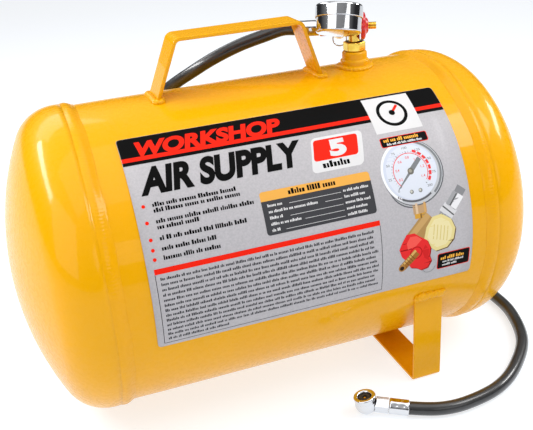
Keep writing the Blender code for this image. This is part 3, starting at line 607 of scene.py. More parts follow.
handle = surface("handle_strap", strap(path, normal, (0, 1, 0), HANDLE_WIDTH, HANDLE_THICK), tank_paint)
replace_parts(flat_faces(handle), "carry_handle")
for name, foot_x, phase in (
    ("handle_left", FEET_X[0] + left_shift + 0.0012, 0.0),
    ("handle_right", FEET_X[1] - right_shift - 0.0009, 2.0),
):
    turn = 2 * np.pi * np.arange(260) / 260
    power = 0.42
    loop_x = foot_x + 0.0034 * np.sign(np.cos(turn)) * np.abs(np.cos(turn)) ** power
    loop_y = 0.0158 * np.sign(np.sin(turn)) * np.abs(np.sin(turn)) ** power
    loop_z = AXIS_Z + np.sqrt(SHELL_R**2 - loop_y**2) + 0.0004
    path = np.stack([loop_x, loop_y, loop_z], 1)
    gaps = np.r_[0, np.cumsum(np.linalg.norm(np.diff(np.vstack([path, path[:1]]), axis=0), axis=1))]
    even = np.linspace(0, gaps[-1], 261)[:-1]
    path = np.stack([np.interp(even, gaps, np.r_[path[:, k], path[0, k]]) for k in range(3)], 1)
    upward = unit(np.stack([np.zeros(260), path[:, 1], path[:, 2] - AXIS_Z], 1))
    ring = bead(path, upward, 0.0027, 0.0024, 0.0030, phase, closed=True)
    weld = surface(f"{name}_bead", ring, weld_paint, loop_rows=True)
    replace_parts(weld, f"{name}_weld")

# Bung. A steel boss with a pipe thread, fillet-welded over the hole in the shell and painted over.
BUNG_X = 0.0916
BUNG_WELD_R = 0.0134
bung_profile = softened(
    [(0.007, 0.1385), (0.0095, 0.1385), (0.0107, 0.1370), (0.0107, 0.1320),
     (0.0122, 0.1308), (0.0122, 0.1245), (0.007, 0.1245)],
    0.0006,
    closed=True,
)
boss = put(turned(bung_profile, 64), (BUNG_X, 0, AXIS_Z), (0, 0, 1))
bung = surface("bung_boss", boss, tank_paint, loop_rows=True)
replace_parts(flat_faces(bung), "tank_bung")
turn = 2 * np.pi * np.arange(240) / 240
loop_x, loop_y = BUNG_X + BUNG_WELD_R * np.cos(turn), BUNG_WELD_R * np.sin(turn)
path = np.stack([loop_x, loop_y, AXIS_Z + np.sqrt(SHELL_R**2 - loop_y**2) + 0.0008], 1)
upward = unit(np.stack([0.25 * np.cos(turn), loop_y / SHELL_R + 0.25 * np.sin(turn), np.ones(240)], 1))
ring = bead(path, upward, 0.0030, 0.0021, 0.0032, closed=True)
weld = surface("bung_bead", ring, weld_paint, loop_rows=True)
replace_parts(weld, "bung_weld")

# Label. Silver-grey vinyl, printed and laminated, wrapped on the front. The print is generic: plain
# words, rows of blocks in place of text, a pictogram and a drawing of the gauge and valves.
LABEL_R = 0.1256
LABEL_U = (-128.8, 133.8)
LABEL_V = (-26.6, 140.1)
LABEL_CORNER = 3


def on_tank(u, v, lift):
    """Label millimetres, u along the tank and v up round it, to points on the shell."""
    angle = v * 0.001 / LABEL_R
    radius = LABEL_R + lift
    return np.stack([u * 0.001 + 0 * angle, -radius * np.cos(angle), AXIS_Z + radius * np.sin(angle)], -1)


def round_box(u0, u1, v0, v1, corner, slant=0.0):
    """Outline of a rectangle with round corners, leaning to the right by the slant."""
    turn = np.linspace(0, np.pi / 2, 7)
    made = []
    left, right, low, high = u0 + corner, u1 - corner, v0 + corner, v1 - corner
    for k, (u, v) in enumerate(((right, high), (left, high), (left, low), (right, low))):
        angle = turn + k * np.pi / 2
        made.append(np.stack([u + corner * np.cos(angle), v + corner * np.sin(angle)], 1))
    made = np.vstack(made)
    made[:, 0] += slant * (made[:, 1] - v0)
    return made


vinyl = finish_of("label_vinyl", (0.44, 0.43, 0.46), 0.4, Specular_IOR_Level=0.15)
add_grain(vinyl, 1500.0, 2.0, 0.36, 0.46, 0.04, 0.0001)
tint(vinyl, (0.43, 0.415, 0.43), (0.49, 0.47, 0.485), 700.0)
in_corner = LABEL_CORNER * (1 - np.cos(np.linspace(0, np.pi / 2, 8)))
rows = np.unique(np.r_[np.linspace(*LABEL_V, 140), LABEL_V[0] + in_corner, LABEL_V[1] - in_corner])
near_end = np.maximum(0, LABEL_CORNER - np.minimum(rows - LABEL_V[0], LABEL_V[1] - rows))
inset = LABEL_CORNER - np.sqrt(np.maximum(0, LABEL_CORNER**2 - near_end**2))
share = np.linspace(0, 1, 12)[None]
u = (LABEL_U[0] + inset)[:, None] * (1 - share) + (LABEL_U[1] - inset)[:, None] * share
wrapped = on_tank(u, rows[:, None] + 0 * u, 0.0)
sheet = surface("label_sheet", wrapped, vinyl, loop_columns=False, toward=(0, -1, 0.5))
wall = sheet.modifiers.new("thickness", "SOLIDIFY")
wall.thickness = 0.0003
wall.offset = -1.0
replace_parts(sheet, "tank_label")

BLACK, RED, WHITE = (0.004, 0.004, 0.004), (0.84, 0.020, 0.008), (0.70, 0.69, 0.69)
ORANGE, SLATE = (0.80, 0.40, 0.08), (0.055, 0.055, 0.06)
BRASS_DARK, STEEL_DARK = (0.20, 0.10, 0.03), (0.12, 0.12, 0.13)
print_points, print_faces, print_inks = [], [], []


def ink(outline, colour, level, faces=None):
    """Adds one printed shape: its outline or points in label millimetres, its colour and its layer."""
    start = sum(len(item) for item in print_points)
    outline = np.array(outline, float)
    print_points.append(np.column_stack([outline, np.full(len(outline), float(level))]))
    print_inks.append(np.tile((*colour, 1.0), (len(outline), 1)))
    if faces is None:
        faces = [range(len(outline))]
    print_faces.extend([start + k for k in face] for face in faces)


def round_spot(u, v, ru, rv=None, count=40, turn=0.0):
    """Outline of an ellipse, or of a polygon when the count is small."""
    angle = 2 * np.pi * np.arange(count) / count + turn
    return np.stack([u + ru * np.cos(angle), v + (rv or ru) * np.sin(angle)], 1)


def hoop(u, v, inner, outer, colour, level, start=0.0, end=2 * np.pi, count=60):
    """A ring, or an arc of one, printed as a strip of four-sided faces."""
    angle = np.linspace(start, end, count + 1)
    way = np.stack([np.cos(angle), np.sin(angle)], 1)
    points = np.vstack([(u, v) + inner * way, (u, v) + outer * way])
    ink(points, colour, level, [(k, k + 1, count + 2 + k, count + 1 + k) for k in range(count)])


def bar(start, end, width, colour, level):
    """A straight printed bar between two points."""
    start, end = np.array(start, float), np.array(end, float)
    along = unit(end - start)
    side = np.array((-along[1], along[0])) * width / 2
    ink([start - side, end - side, end + side, start + side], colour, level)


def letters(words, weight, slant=0.0):
    """The words as a flat mesh from the built-in face: points in a unit box and their faces."""
    curve = bpy.data.curves.new("words", "FONT")
    curve.body = words
    curve.offset = weight
    curve.fill_mode = "FRONT"
    holder = bpy.data.objects.new("words", curve)
    bpy.context.scene.collection.objects.link(holder)
    bpy.context.view_layer.update()
    mesh = bpy.data.meshes.new_from_object(holder.evaluated_get(bpy.context.evaluated_depsgraph_get()))
    points = np.zeros(len(mesh.vertices) * 3, np.float32)
    mesh.vertices.foreach_get("co", points)
    points = points.reshape(-1, 3)[:, :2].astype(float)
    faces = [tuple(face.vertices) for face in mesh.polygons]
    bpy.data.objects.remove(holder)
    bpy.data.curves.remove(curve)
    bpy.data.meshes.remove(mesh)
    low, high = points.min(0), points.max(0)
    points = (points - low) / (high - low)
    points[:, 0] += slant * points[:, 1]
    return points, faces


def word(words, u0, u1, v0, v1, colour, level, weight=0.02, slant=0.0):
    """Prints words to fill a box on the label."""
    points, faces = letters(words, weight, slant)
    ink(points * (u1 - u0, v1 - v0) + (u0, v0), colour, level, faces)


chance = np.random.default_rng(7)


def blocks(u0, u1, v, size, colour, level):
    """A row of small blocks grouped like words, in place of a line of text."""
    at = u0
    while at < u1 - 3 * size:
        for _ in range(int(chance.integers(2, 9))):
            wide = size * chance.uniform(0.42, 0.72)
            tall = size * (1.45 if chance.random() < 0.3 else 1.0)
            if at + wide > u1:
                break
            ink([(at, v), (at + wide, v), (at + wide, v + tall), (at, v + tall)], colour, level)
            at += wide + 0.2 * size
        at += 0.55 * size


ink(round_box(-128.6, 133.6, 121.2, 139.9, 2.8), BLACK, 1)
ink([(-128.6, 121.0), (133.6, 121.0), (133.6, 132.0), (-128.6, 132.0)], BLACK, 1.4)
ink([(-128.6, 117.6), (133.6, 117.6), (133.6, 121.2), (-128.6, 121.2)], RED, 2)
ink([(-128.6, 114.6), (133.6, 114.6), (133.6, 117.6), (-128.6, 117.6)], BLACK, 2)
word("WORKSHOP", -120.5, -6.0, 120.6, 135.0, RED, 3, 0.05, 0.035)
word("AIR SUPPLY", -121.5, 1.0, 89.0, 111.4, BLACK, 2, 0.05, 0.04)
ink(round_box(7.6, 50.6, 81.3, 109.8, 4.0, 0.25), WHITE, 2)
ink(round_box(11.6, 48.6, 90.2, 107.6, 2.5, 0.25), RED, 3)
word("5", 26.0, 40.0, 91.8, 106.0, WHITE, 4, 0.06, 0.1)
blocks(17.5, 44.0, 84.0, 3.6, BLACK, 3)
ink(round_box(-37.3, 52.0, 60.0, 75.3, 2.5), ORANGE, 2)
ink(round_box(-37.3, 52.0, 42.6, 67.9, 2.5), SLATE, 3)
ink([(-37.3, 60.0), (52.0, 60.0), (52.0, 68.0), (-37.3, 68.0)], SLATE, 3.4)
blocks(-15.0, 30.0, 69.8, 2.9, BLACK, 3)
for k, long in enumerate((16, 44, 15, 26, 10)):
    v = 63.4 - 4.6 * k
    blocks(-33.0, -33.0 + long, v, 1.5, WHITE, 4)
    ink([(-32.0 + long, v), (26.0, v), (26.0, v + 0.3), (-32.0 + long, v + 0.3)], WHITE, 4)
    blocks(28.0, 49.0, v, 1.5, WHITE, 4)
for v in (81.7, 69.5, 57.3, 49.9, 43.2):
    ink(round_spot(-122.0, v, 1.35), RED, 2)
for v, end in ((80.3, -45), (76.0, -50), (68.1, -40), (63.8, -78), (55.9, -50), (48.5, -74), (41.8, -70)):
    blocks(-115.5, end, v, 2.3, BLACK, 2)
ink([(-124.0, 32.4), (53.0, 32.4), (53.0, 36.4), (-124.0, 36.4)], RED, 2)
BOX_RULES = ((-124.0, 53.0, -23.9, -23.5), (-124.0, -123.6, -23.9, 32.4), (52.6, 53.0, -23.9, 32.4))
for u0, u1, v0, v1 in BOX_RULES:
    ink([(u0, v0), (u1, v0), (u1, v1), (u0, v1)], BLACK, 2)
for k in range(13):
    blocks(-120.5, 50.0 if k < 12 else -70.0, 27.6 - 4.05 * k, 1.55, (0.05, 0.05, 0.055), 2)
ink([(68.8, 102.9), (109.5, 102.9), (109.5, 138.0), (68.8, 138.0)], WHITE, 3)
hoop(89.1, 120.4, 10.2, 13.0, BLACK, 4)
bar((89.1, 120.4), (95.8, 127.2), 2.2, RED, 4)
ink(round_spot(89.1, 120.4, 2.6), BLACK, 5)
for u0, v0, u1, v1, mid in ((69.0, 90.6, 110.0, 98.9, 94.6), (101.8, -17.0, 131.6, -2.6, -9.0)):
    ink(round_box(u0, u1, v0, v1, 1.6), RED, 4.4)
    ink(round_box(u0 + 0.5, u1 - 0.5, v0 + 0.5, v1 - 0.5, 1.2), BLACK, 4.8)
    blocks(u0 + 3, u1 - 2.5, mid + 0.3, 2.1, (0.90, 0.45, 0.06), 5.2)
    blocks(u0 + 5, u1 - 4, mid - 2.6, 1.35, WHITE, 5.2)
    if v1 - v0 > 10:
        blocks(u0 + 5, u1 - 7, mid - 5.6, 1.35, WHITE, 5.2)

# The drawing: gauge, its stem, tee, safety plug, valve knob with nozzle, pull ring and hose end.
GREY_INK, SCALE_RED = (0.20, 0.21, 0.22), (0.78, 0.05, 0.05)
ink(round_spot(85.0, 60.5, 20.5), STEEL_DARK, 2)
ink(round_spot(85.3, 61.2, 20.2), (0.46, 0.46, 0.47), 2.2)
ink(round_spot(88.4, 67.8, 26.6), STEEL_DARK, 2.4)
ink(round_spot(88.0, 68.2, 26.1), (0.52, 0.53, 0.55), 2.6)
hoop(88.0, 68.2, 23.6, 25.4, GREY_INK, 2.9, -0.9, 1.4)
hoop(87.0, 68.8, 23.2, 25.2, (0.85, 0.86, 0.88), 2.9, 1.9, 4.2)
hoop(87.0, 68.8, 23.0, 24.6, STEEL_DARK, 2.9, 4.0, 5.3)
ink(round_spot(86.8, 69.0, 23.0), (0.60, 0.64, 0.74), 4)
ink(round_spot(87.6, 68.2, 21.6), (0.68, 0.71, 0.78), 4.2)
DIAL = np.array((86.8, 68.6))
hoop(*DIAL, 14.3, 14.9, SCALE_RED, 5, -0.62, 3.95)
for k in range(7):
    start = 1.22 - 0.27 * k
    hoop(*DIAL, 15.6, 17.8, SCALE_RED, 5, start - 0.20, start, 6)
for k in range(33):
    angle = math.radians(225 - 270 * k / 32)
    way = np.array((math.cos(angle), math.sin(angle)))
    bar(DIAL + (15.4 if k % 4 else 15.0) * way, DIAL + 16.4 * way, 0.3 if k % 4 else 0.6, GREY_INK, 4.8)
for k in range(9):
    angle = math.radians(225 - 270 * k / 8)
    u, v = DIAL + 19.2 * np.array((math.cos(angle), math.sin(angle)))
    number = str(25 * k)
    word(number, u - 0.75 * len(number), u + 0.75 * len(number), v - 0.95, v + 0.95, GREY_INK, 5, 0.01)
for k in range(7):
    angle = math.radians(208 - 236 * k / 6)
    u, v = DIAL + 11.2 * np.array((math.cos(angle), math.sin(angle)))
    word(f"{0.2 * (k + 1):.1f}", u - 1.6, u + 1.6, v - 1.0, v + 1.0, SCALE_RED, 5, 0.01)
ink([DIAL + (-1.2, 1.6), DIAL + (1.6, -1.2), DIAL + (11.4, 7.8), DIAL + (9.0, 10.4)], GREY_INK, 6)
ink([DIAL + (-1.0, 0.6), DIAL + (0.6, -1.0), DIAL + (-13.0, -12.6), DIAL + (-13.6, -12.2)], GREY_INK, 6)
ink(round_spot(*DIAL, 2.7), (0.16, 0.15, 0.13), 7)
ink(round_spot(*(DIAL + (-0.3, 0.3)), 1.4), (0.34, 0.32, 0.26), 7.4)
for u in (83.9, 91.5):
    ink(round_spot(u, 52.6, 1.7), (0.25, 0.25, 0.24), 5)
    ink(round_spot(u - 0.3, 52.9, 0.9), (0.60, 0.58, 0.50), 5.4)
ink(round_box(82.4, 94.2, 34.6, 43.4, 0.8), (0.50, 0.32, 0.17), 2.3)
ink([(84.6, 34.8), (86.6, 34.8), (86.6, 43.2), (84.6, 43.2)], (0.68, 0.50, 0.32), 3.5)
ink([(91.8, 34.8), (93.6, 34.8), (93.6, 43.2), (91.8, 43.2)], (0.62, 0.36, 0.13), 3.5)
ink(round_box(83.2, 92.4, 31.0, 34.8, 0.6), (0.62, 0.33, 0.05), 2.5)
bar((88.6, 31.0), (88.6, 34.6), 1.2, BRASS_DARK, 2.7)
bar((98.0, 29.5), (81.0, 14.0), 17.5, (0.42, 0.25, 0.09), 2.6)
bar((95.0, 32.5), (78.5, 18.0), 5.0, (0.55, 0.34, 0.13), 2.8)
bar((98.5, 20.5), (87.5, 8.0), 4.0, (0.09, 0.03, 0.01), 2.8)
bar((106.5, 25.5), (113.6, 33.0), 11.0, (0.30, 0.30, 0.31), 2.5)
bar((108.0, 31.2), (111.0, 34.2), 8.0, (0.74, 0.74, 0.75), 2.6)
bar((110.4, 29.4), (115.6, 35.2), 12.8, (0.66, 0.65, 0.66), 2.7)
bar((112.4, 31.8), (113.2, 32.6), 12.8, (0.10, 0.10, 0.10), 2.8)
bar((115.2, 34.6), (123.4, 43.8), 10.4, (0.35, 0.35, 0.36), 2.7)
bar((117.4, 33.4), (125.4, 42.4), 5.6, (0.80, 0.79, 0.80), 2.8)
bar((114.6, 35.8), (122.0, 44.2), 1.2, (0.10, 0.10, 0.10), 2.9)
bar((122.8, 43.0), (127.4, 48.4), 8.4, (0.24, 0.24, 0.25), 2.6)
hoop(94.3, -11.6, 6.0, 7.0, (0.42, 0.41, 0.42), 2.6)
hoop(94.3, -11.6, 5.5, 6.0, (0.22, 0.22, 0.23), 2.6, 3.3, 6.1)
cream = np.array([
    (100.0, 29.8), (107.2, 30.6), (114.4, 25.0), (117.4, 17.0), (115.8, 8.4),
    (110.6, 2.4), (101.6, 1.2), (95.2, 7.0), (92.4, 14.0), (94.6, 22.4),
])
cream = (cream - (104.5, 15.8)) * (1.13, 1.02) + (103.4, 15.8)
ink(cream + (0.8, -0.8), (0.12, 0.06, 0.02), 3.4)
ink(cream, (0.76, 0.64, 0.28), 3.6)
ink(cream * 0.80 + np.array((104.2, 16.2)) * 0.20, (0.80, 0.70, 0.38), 3.8)
for k in range(5):
    bar((99.4 + 3.0 * k, 23.6 - 0.9 * k), (97.8 + 3.0 * k, 11.6 - 0.9 * k), 0.7, (0.66, 0.52, 0.18), 4.0)
knob_ink = np.array([
    (77.0, 19.4), (83.4, 19.2), (88.4, 15.0), (93.6, 11.4), (96.2, 4.6),
    (95.4, -1.6), (97.0, -6.6), (94.2, -12.4), (88.8, -13.4), (84.4, -10.4),
    (80.0, -9.2), (76.6, -2.6), (72.6, 1.8), (70.6, 8.2), (73.0, 13.4),
])
knob_ink = (knob_ink - (84.0, 3.0)) * (1.08, 1.02) + (82.0, 3.4)
ink(knob_ink + (0.9, -1.0), (0.30, 0.01, 0.01), 4.2)
ink(knob_ink, (0.76, 0.03, 0.03), 4.4)
lit_lobe = [(77.4, 17.6), (83.0, 17.4), (87.6, 13.6), (82.0, 9.0), (75.0, 7.6), (74.2, 12.8)]
dim_lobe = [(90.6, 8.6), (94.0, 3.6), (93.4, -2.0), (94.6, -6.8), (90.0, -3.0), (87.6, 3.4)]
ink(lit_lobe, (0.86, 0.10, 0.08), 4.6)
ink(dim_lobe, (0.62, 0.02, 0.02), 4.6)
hoop(82.4, 3.2, 4.6, 5.4, (0.45, 0.01, 0.01), 4.8)
bar((83.0, 3.8), (70.4, -7.6), 6.8, (0.34, 0.14, 0.03), 5.2)
bar((82.0, 5.4), (69.4, -6.0), 2.2, (0.66, 0.40, 0.12), 5.4)
for k in range(6):
    centre = np.array((79.2, 0.4)) - k * np.array((1.7, 1.55))
    bar(centre + (2.2, -2.5), centre - (2.2, -2.5), 0.5, (0.14, 0.05, 0.01), 5.6)
ink(round_spot(70.2, -7.8, 3.1), (0.42, 0.20, 0.05), 5.8)
ink(round_spot(70.0, -8.0, 1.9), (0.03, 0.015, 0.01), 6.0)

ink_film = finish_of("printing_ink", (0.5, 0.5, 0.5), 0.4, Specular_IOR_Level=0.03)
add_grain(ink_film, 1500.0, 2.0, 0.36, 0.46, 0.04, 0.0001)
reader = ink_film.node_tree.nodes.new("ShaderNodeAttribute")
reader.attribute_name = "ink"
film_shader = ink_film.node_tree.nodes["Principled BSDF"]
ink_film.node_tree.links.new(reader.outputs["Color"], film_shader.inputs["Base Color"])


def inked_mesh(name, points, faces, inks, cut_every=None):
    """A flat mesh with an ink colour at each point, cut along rows so that it can follow a curve."""
    mesh = bpy.data.meshes.new(name)
    mesh.from_pydata(points, [], faces)
    painted = mesh.color_attributes.new("ink", "FLOAT_COLOR", "POINT")
    painted.data.foreach_set("color", inks.astype(np.float32).ravel())
    if cut_every:
        work = bmesh.new()
        work.from_mesh(mesh)
        for v in np.arange(points[:, 1].min() + cut_every, points[:, 1].max(), cut_every):
            parts = work.verts[:] + work.edges[:] + work.faces[:]
            bmesh.ops.bisect_plane(work, geom=parts, dist=1e-5, plane_co=(0, v, 0), plane_no=(0, 1, 0))
        bmesh.ops.recalc_face_normals(work, faces=work.faces)
        work.to_mesh(mesh)
        work.free()
    return mesh


def reshape(mesh, rule):
    """Moves all points of a mesh at once by a rule on its array of points."""
    points = np.zeros(len(mesh.vertices) * 3, np.float32)
    mesh.vertices.foreach_get("co", points)
    mesh.vertices.foreach_set("co", rule(points.reshape(-1, 3).astype(float)).astype(np.float32).ravel())
    mesh.update()


def facing_out(mesh, outward):
    """Turns each face whose normal points against the outward direction at its centre."""
    work = bmesh.new()
    work.from_mesh(mesh)
    wrong = [face for face in work.faces if face.normal.dot(Vector(outward(face.calc_center_median()))) < 0]
    bmesh.ops.reverse_faces(work, faces=wrong)
    work.to_mesh(mesh)
    work.free()
    mesh.polygons.foreach_set("use_smooth", np.ones(len(mesh.polygons), bool))


LAYER = 0.000018
label_print = inked_mesh("label_print", np.vstack(print_points), print_faces, np.vstack(print_inks), 2.5)
reshape(label_print, lambda p: on_tank(p[:, 0], p[:, 1], 0.00002 + LAYER * p[:, 2]))
facing_out(label_print, lambda c: (0.0, c.y, c.z - AXIS_Z))
label_print.materials.append(ink_film)
printed = bpy.data.objects.new("label_print", label_print)
bpy.context.scene.collection.objects.link(printed)
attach(printed, "tank")

# Brass fittings. Nipple, tee body, plug, gland and hose nut, turned from hexagon or round bar and
# left bright; each screws into the next.
REAR = np.array((0.422618, 0.906308, 0.0))
GAUGE_DIR = np.array((-0.395596, -0.848359, 0.351842))
PLUG_DIR = np.array((0.148695, 0.318877, 0.936060))
PORT = HUB - 0.0125 * LINE
GAUGE_PORT = PORT - 0.004 * PLUG_DIR


def turned_metal(name, dark, light, roughness):
    """Machined metal: fine tool marks in its roughness and bump, and a slight drift in colour."""
    made = finish_of(name, light, roughness, 1.0)
    add_grain(made, 1800.0, 3.0, roughness * 0.7, roughness * 1.4, 0.10, 0.00008)
    tint(made, dark, light, 120.0)
    return made


brass = turned_metal("fitting_brass", (0.78, 0.50, 0.07), (0.93, 0.68, 0.13), 0.12)


def hexagon(corner_r):
    """Radius rule: the flats of a hexagon of that corner radius, where the profile reaches past them,
    so that a profile with sloped ends leaves the curved chamfer of a real nut."""

    def rule(radius, turn, rise):
        flat = corner_r * math.cos(math.pi / 6) / np.cos((turn + math.pi / 6) % (math.pi / 3) - math.pi / 6)
        return np.minimum(radius, flat)

    return rule


def hex_bar(low, high, corner_r, bore):
    """Profile of a hexagon nut: sloped ends, straight side with many rows, and a bore."""
    slope = 0.16 * corner_r
    side = [(corner_r, h) for h in np.linspace(high - 0.35 * slope, low + 0.35 * slope, 9)]
    top = [(bore, high), (corner_r * 0.80, high), (corner_r * 0.92, high - 0.12 * slope)]
    under = [(corner_r * 0.92, low + 0.12 * slope), (corner_r * 0.80, low), (bore, low)]
    return np.array([*top, *side, *under])


def fitting(name, node, grids, look, body="tank", loops=True):
    """One piece of several grids joined in one mesh, in place of a CAD node."""
    made = [surface(f"{name}_{k}", grid, look, body, loop_rows=loops) for k, grid in enumerate(grids)]
    work = bmesh.new()
    for item in made:
        work.from_mesh(item.data)
    mesh = bpy.data.meshes.new(name)
    work.to_mesh(mesh)
    work.free()
    mesh.materials.append(look)
    for item in made:
        bpy.data.objects.remove(item)
    piece = bpy.data.objects.new(name, mesh)
    bpy.context.scene.collection.objects.link(piece)
    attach(piece, body)
    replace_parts(flat_faces(piece), *([node] if isinstance(node, str) else node))
    return piece


def pipe(radius, low, high, bore, edge=0.0004):
    """Profile of a round boss with softened edges."""
    return softened([(bore, high), (radius, high), (radius, low), (bore, low)], edge, closed=True)


base = (BUNG_X, 0, AXIS_Z)
nipple = [
    put(turned(hex_bar(0.1389, 0.1463, 0.0098, 0.0024), 96, hexagon(0.0095)), base, (0, 0, 1), (1, 0, 0)),
    put(turned(pipe(0.0067, 0.1262, 0.1390, 0.0024), 48), base, (0, 0, 1)),
    put(turned(pipe(0.0036, 0.1462, 0.1520, 0.0024), 48), base, (0, 0, 1)),
]
fitting("nipple_hex", "tank_nipple", nipple, brass)
plug = [
    put(turned(hex_bar(0.0098, 0.0135, 0.0072, 0.0001), 96, hexagon(0.0070)), PORT, PLUG_DIR, LINE),
    put(turned(pipe(0.0038, 0.0050, 0.0100, 0.0001), 40), PORT, PLUG_DIR),
]
fitting("plug_hex", "manifold_plug", plug, brass)
gland = [put(turned(hex_bar(0.0048, 0.0064, 0.0064, 0.0033), 96, hexagon(0.0062)), HUB, LINE)]
gland.append(put(turned(pipe(0.0042, 0.0005, 0.0049, 0.0033), 40), HUB, LINE))
fitting("gland_nut", "valve_gland", gland, brass)
nut = [
    put(turned(hex_bar(-0.0290, -0.0218, 0.0078, 0.0018), 96, hexagon(0.0075)), HUB, LINE),
    put(turned(pipe(0.0031, -0.0220, -0.0170, 0.0018), 40), HUB, LINE),
]
fitting("hose_nut_hex", "hose_nut", nut, brass)


def eased_copy(name, node, look, body="tank", width=0.00035):
    """The frame's own solid, merged and with its sharp edges rounded, as a casting is."""
    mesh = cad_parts[node].data.copy()
    work = bmesh.new()
    work.from_mesh(mesh)
    bmesh.ops.remove_doubles(work, verts=work.verts, dist=1e-6)
    bmesh.ops.dissolve_limit(work, angle_limit=math.radians(0.5), verts=work.verts, edges=work.edges)
    inner_edges = [edge for edge in work.edges if len(edge.link_faces) == 2]
    sharp = [edge for edge in inner_edges if edge.calc_face_angle(0) > math.radians(35)]
    bmesh.ops.bevel(
        work, geom=sharp, offset=width, segments=2, profile=0.5, affect="EDGES", clamp_overlap=True
    )
    bmesh.ops.triangulate(work, faces=[face for face in work.faces if len(face.verts) > 4])
    work.to_mesh(mesh)
    work.free()
    mesh.materials.clear()
    mesh.materials.append(look)
    mesh.polygons.foreach_set("use_smooth", np.ones(len(mesh.polygons), bool))
    made = bpy.data.objects.new(name, mesh)
    bpy.context.scene.collection.objects.link(made)
    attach(made, body)
    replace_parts(flat_faces(made), node)
    return made


cast_brass = turned_metal("cast_brass", (0.72, 0.45, 0.07), (0.88, 0.62, 0.13), 0.22)
eased_copy("tee_body", "manifold_body", cast_brass)

# Valve spindle, knob and core pin. The hollow brass spindle ends in a threaded inlet nozzle; the red
# moulded knob with eight lobes is pressed on it, and a small pin moves in the nozzle.
thread_h = np.linspace(0.0186, 0.0130, 57)


def threaded(radius, depth, pitch):
    """Radius rule: a thread, a triangle wave along the height that advances one pitch each turn."""

    def rule(given, turn, rise):
        wave = np.abs(((rise / pitch - turn / (2 * np.pi)) % 1.0) * 2 - 1)
        return np.where(given > radius - 1e-6, radius - depth * wave, given)

    return rule


nozzle = [(0.0017, 0.0187), (0.0026, 0.0187), *[(0.0032, h) for h in thread_h], (0.0017, 0.0129)]
rod_side = [(0.0006, 0.0129), (0.0030, 0.0129), (0.0030, -0.0045), (0.0012, -0.0075), (0.0006, -0.0075)]
rod = softened(rod_side, 0.0003, closed=True)
inlet_thread = threaded(0.0032, 0.00035, 0.0008)
spindle = [put(turned(nozzle, 72, inlet_thread), HUB, LINE), put(turned(rod, 48), HUB, LINE)]
fitting("spindle_nozzle", "valve_spindle", spindle, brass, "spindle")

red_plastic = finish_of("knob_plastic", (0.62, 0.006, 0.012), 0.3, Coat_Weight=0.3, Coat_Roughness=0.1)
add_grain(red_plastic, 700.0, 3.0, 0.26, 0.40, 0.12, 0.0001)
tint(red_plastic, (0.52, 0.004, 0.008), (0.66, 0.008, 0.014), 80.0)


def lobed(radius, turn, rise):
    """Radius rule: eight grip lobes that fade out toward the middle of the knob."""
    weight = np.clip((radius - 0.0060) / 0.0055, 0, 1)
    return radius - 0.0008 * weight * (0.5 - 0.5 * np.cos(8 * turn)) ** 1.5


knob_profile = softened(
    [(0.0033, 0.0122), (0.0044, 0.0122), (0.0056, 0.0116), (0.0070, 0.0102),
     (0.0098, 0.0096), (0.0113, 0.0088), (0.0119, 0.0076), (0.0117, 0.0062),
     (0.0108, 0.0057), (0.0072, 0.0057), (0.0070, 0.0073), (0.0033, 0.0073)],
    0.0008, 3, closed=True,
)
knob = [put(turned(knob_profile, 144, lobed), HUB, LINE)]
fitting("knob_lobed", "valve_knob", knob, red_plastic, "knob")

pin_side = [
    (0.0, 0.0180), (0.0006, 0.0180), (0.0006, 0.0152),
    (0.0013, 0.0152), (0.0013, 0.0142), (0.0, 0.0142),
]
pin = [put(turned(softened(pin_side, 0.0002), 32), HUB, LINE)]
fitting("core_pin_stem", "inlet_core_pin", pin, brass, "core_pin", loops=False)

# Safety valve. Brass body screwed in the rear port, a stem with an eye, a coil spring and a steel
# wire ring that hangs from the eye.
bonnet_side = [
    (0.0013, 0.0240), (0.0042, 0.0240), (0.0050, 0.0230), (0.0050, 0.0205), (0.0046, 0.0200),
    (0.0050, 0.0195), (0.0050, 0.0148), (0.0036, 0.0148), (0.0036, 0.0225), (0.0013, 0.0225),
]
safety = [
    put(turned(hex_bar(0.0098, 0.0150, 0.0071, 0.0040), 96, hexagon(0.0069)), PORT, -GAUGE_DIR, LINE),
    put(turned(pipe(0.0038, 0.0055, 0.0100, 0.0015), 40), PORT, -GAUGE_DIR),
    put(turned(softened(bonnet_side, 0.0004, closed=True), 48), PORT, -GAUGE_DIR),
]
fitting("safety_bonnet", "safety_valve_body", safety, brass)
eased_copy("safety_stem_eye", "safety_valve_stem", brass, "safety_stem", 0.0001)
steel = turned_metal("spring_steel", (0.45, 0.45, 0.47), (0.62, 0.62, 0.65), 0.25)


def coil(radius, low, high, turns, wire):
    """A spring of round wire: a helix about Z that climbs evenly from low to high in its turns."""
    t = np.linspace(0, 1, int(turns * 28))
    angle = 2 * np.pi * turns * t
    rise = low + (high - low) * t
    return tube(np.stack([radius * np.cos(angle), radius * np.sin(angle), rise], 1), wire, 10)


safety_coil = put(coil(0.0023, 0.0133, 0.0219, 5.5, 0.0004), PORT, -GAUGE_DIR, LINE)
spring = surface("safety_spring_coil", safety_coil, steel)
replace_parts(spring, "safety_valve_spring")
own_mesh(spring)
EYE = PORT - 0.0290 * GAUGE_DIR
RING_MAJOR = 0.0060
RING_WIRE_R = 0.0006
angle = 2 * np.pi * np.arange(72)[:, None] / 72
ring_way = np.cos(angle) * LINE + np.sin(angle) * np.array((0, 0, 1.0))
ring_path = (EYE - (0, 0, RING_MAJOR)) + RING_MAJOR * ring_way
side = unit(ring_path - ring_path.mean(0))
wire_turn = 2 * np.pi * np.arange(16)[None, :, None] / 16
wire_way = np.cos(wire_turn) * side[:, None] + np.sin(wire_turn) * REAR
ring_grid = ring_path[:, None] + RING_WIRE_R * wire_way
ring = surface("pull_ring_wire", ring_grid, steel, "pull_ring", loop_rows=True)
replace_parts(ring, "safety_valve_ring")

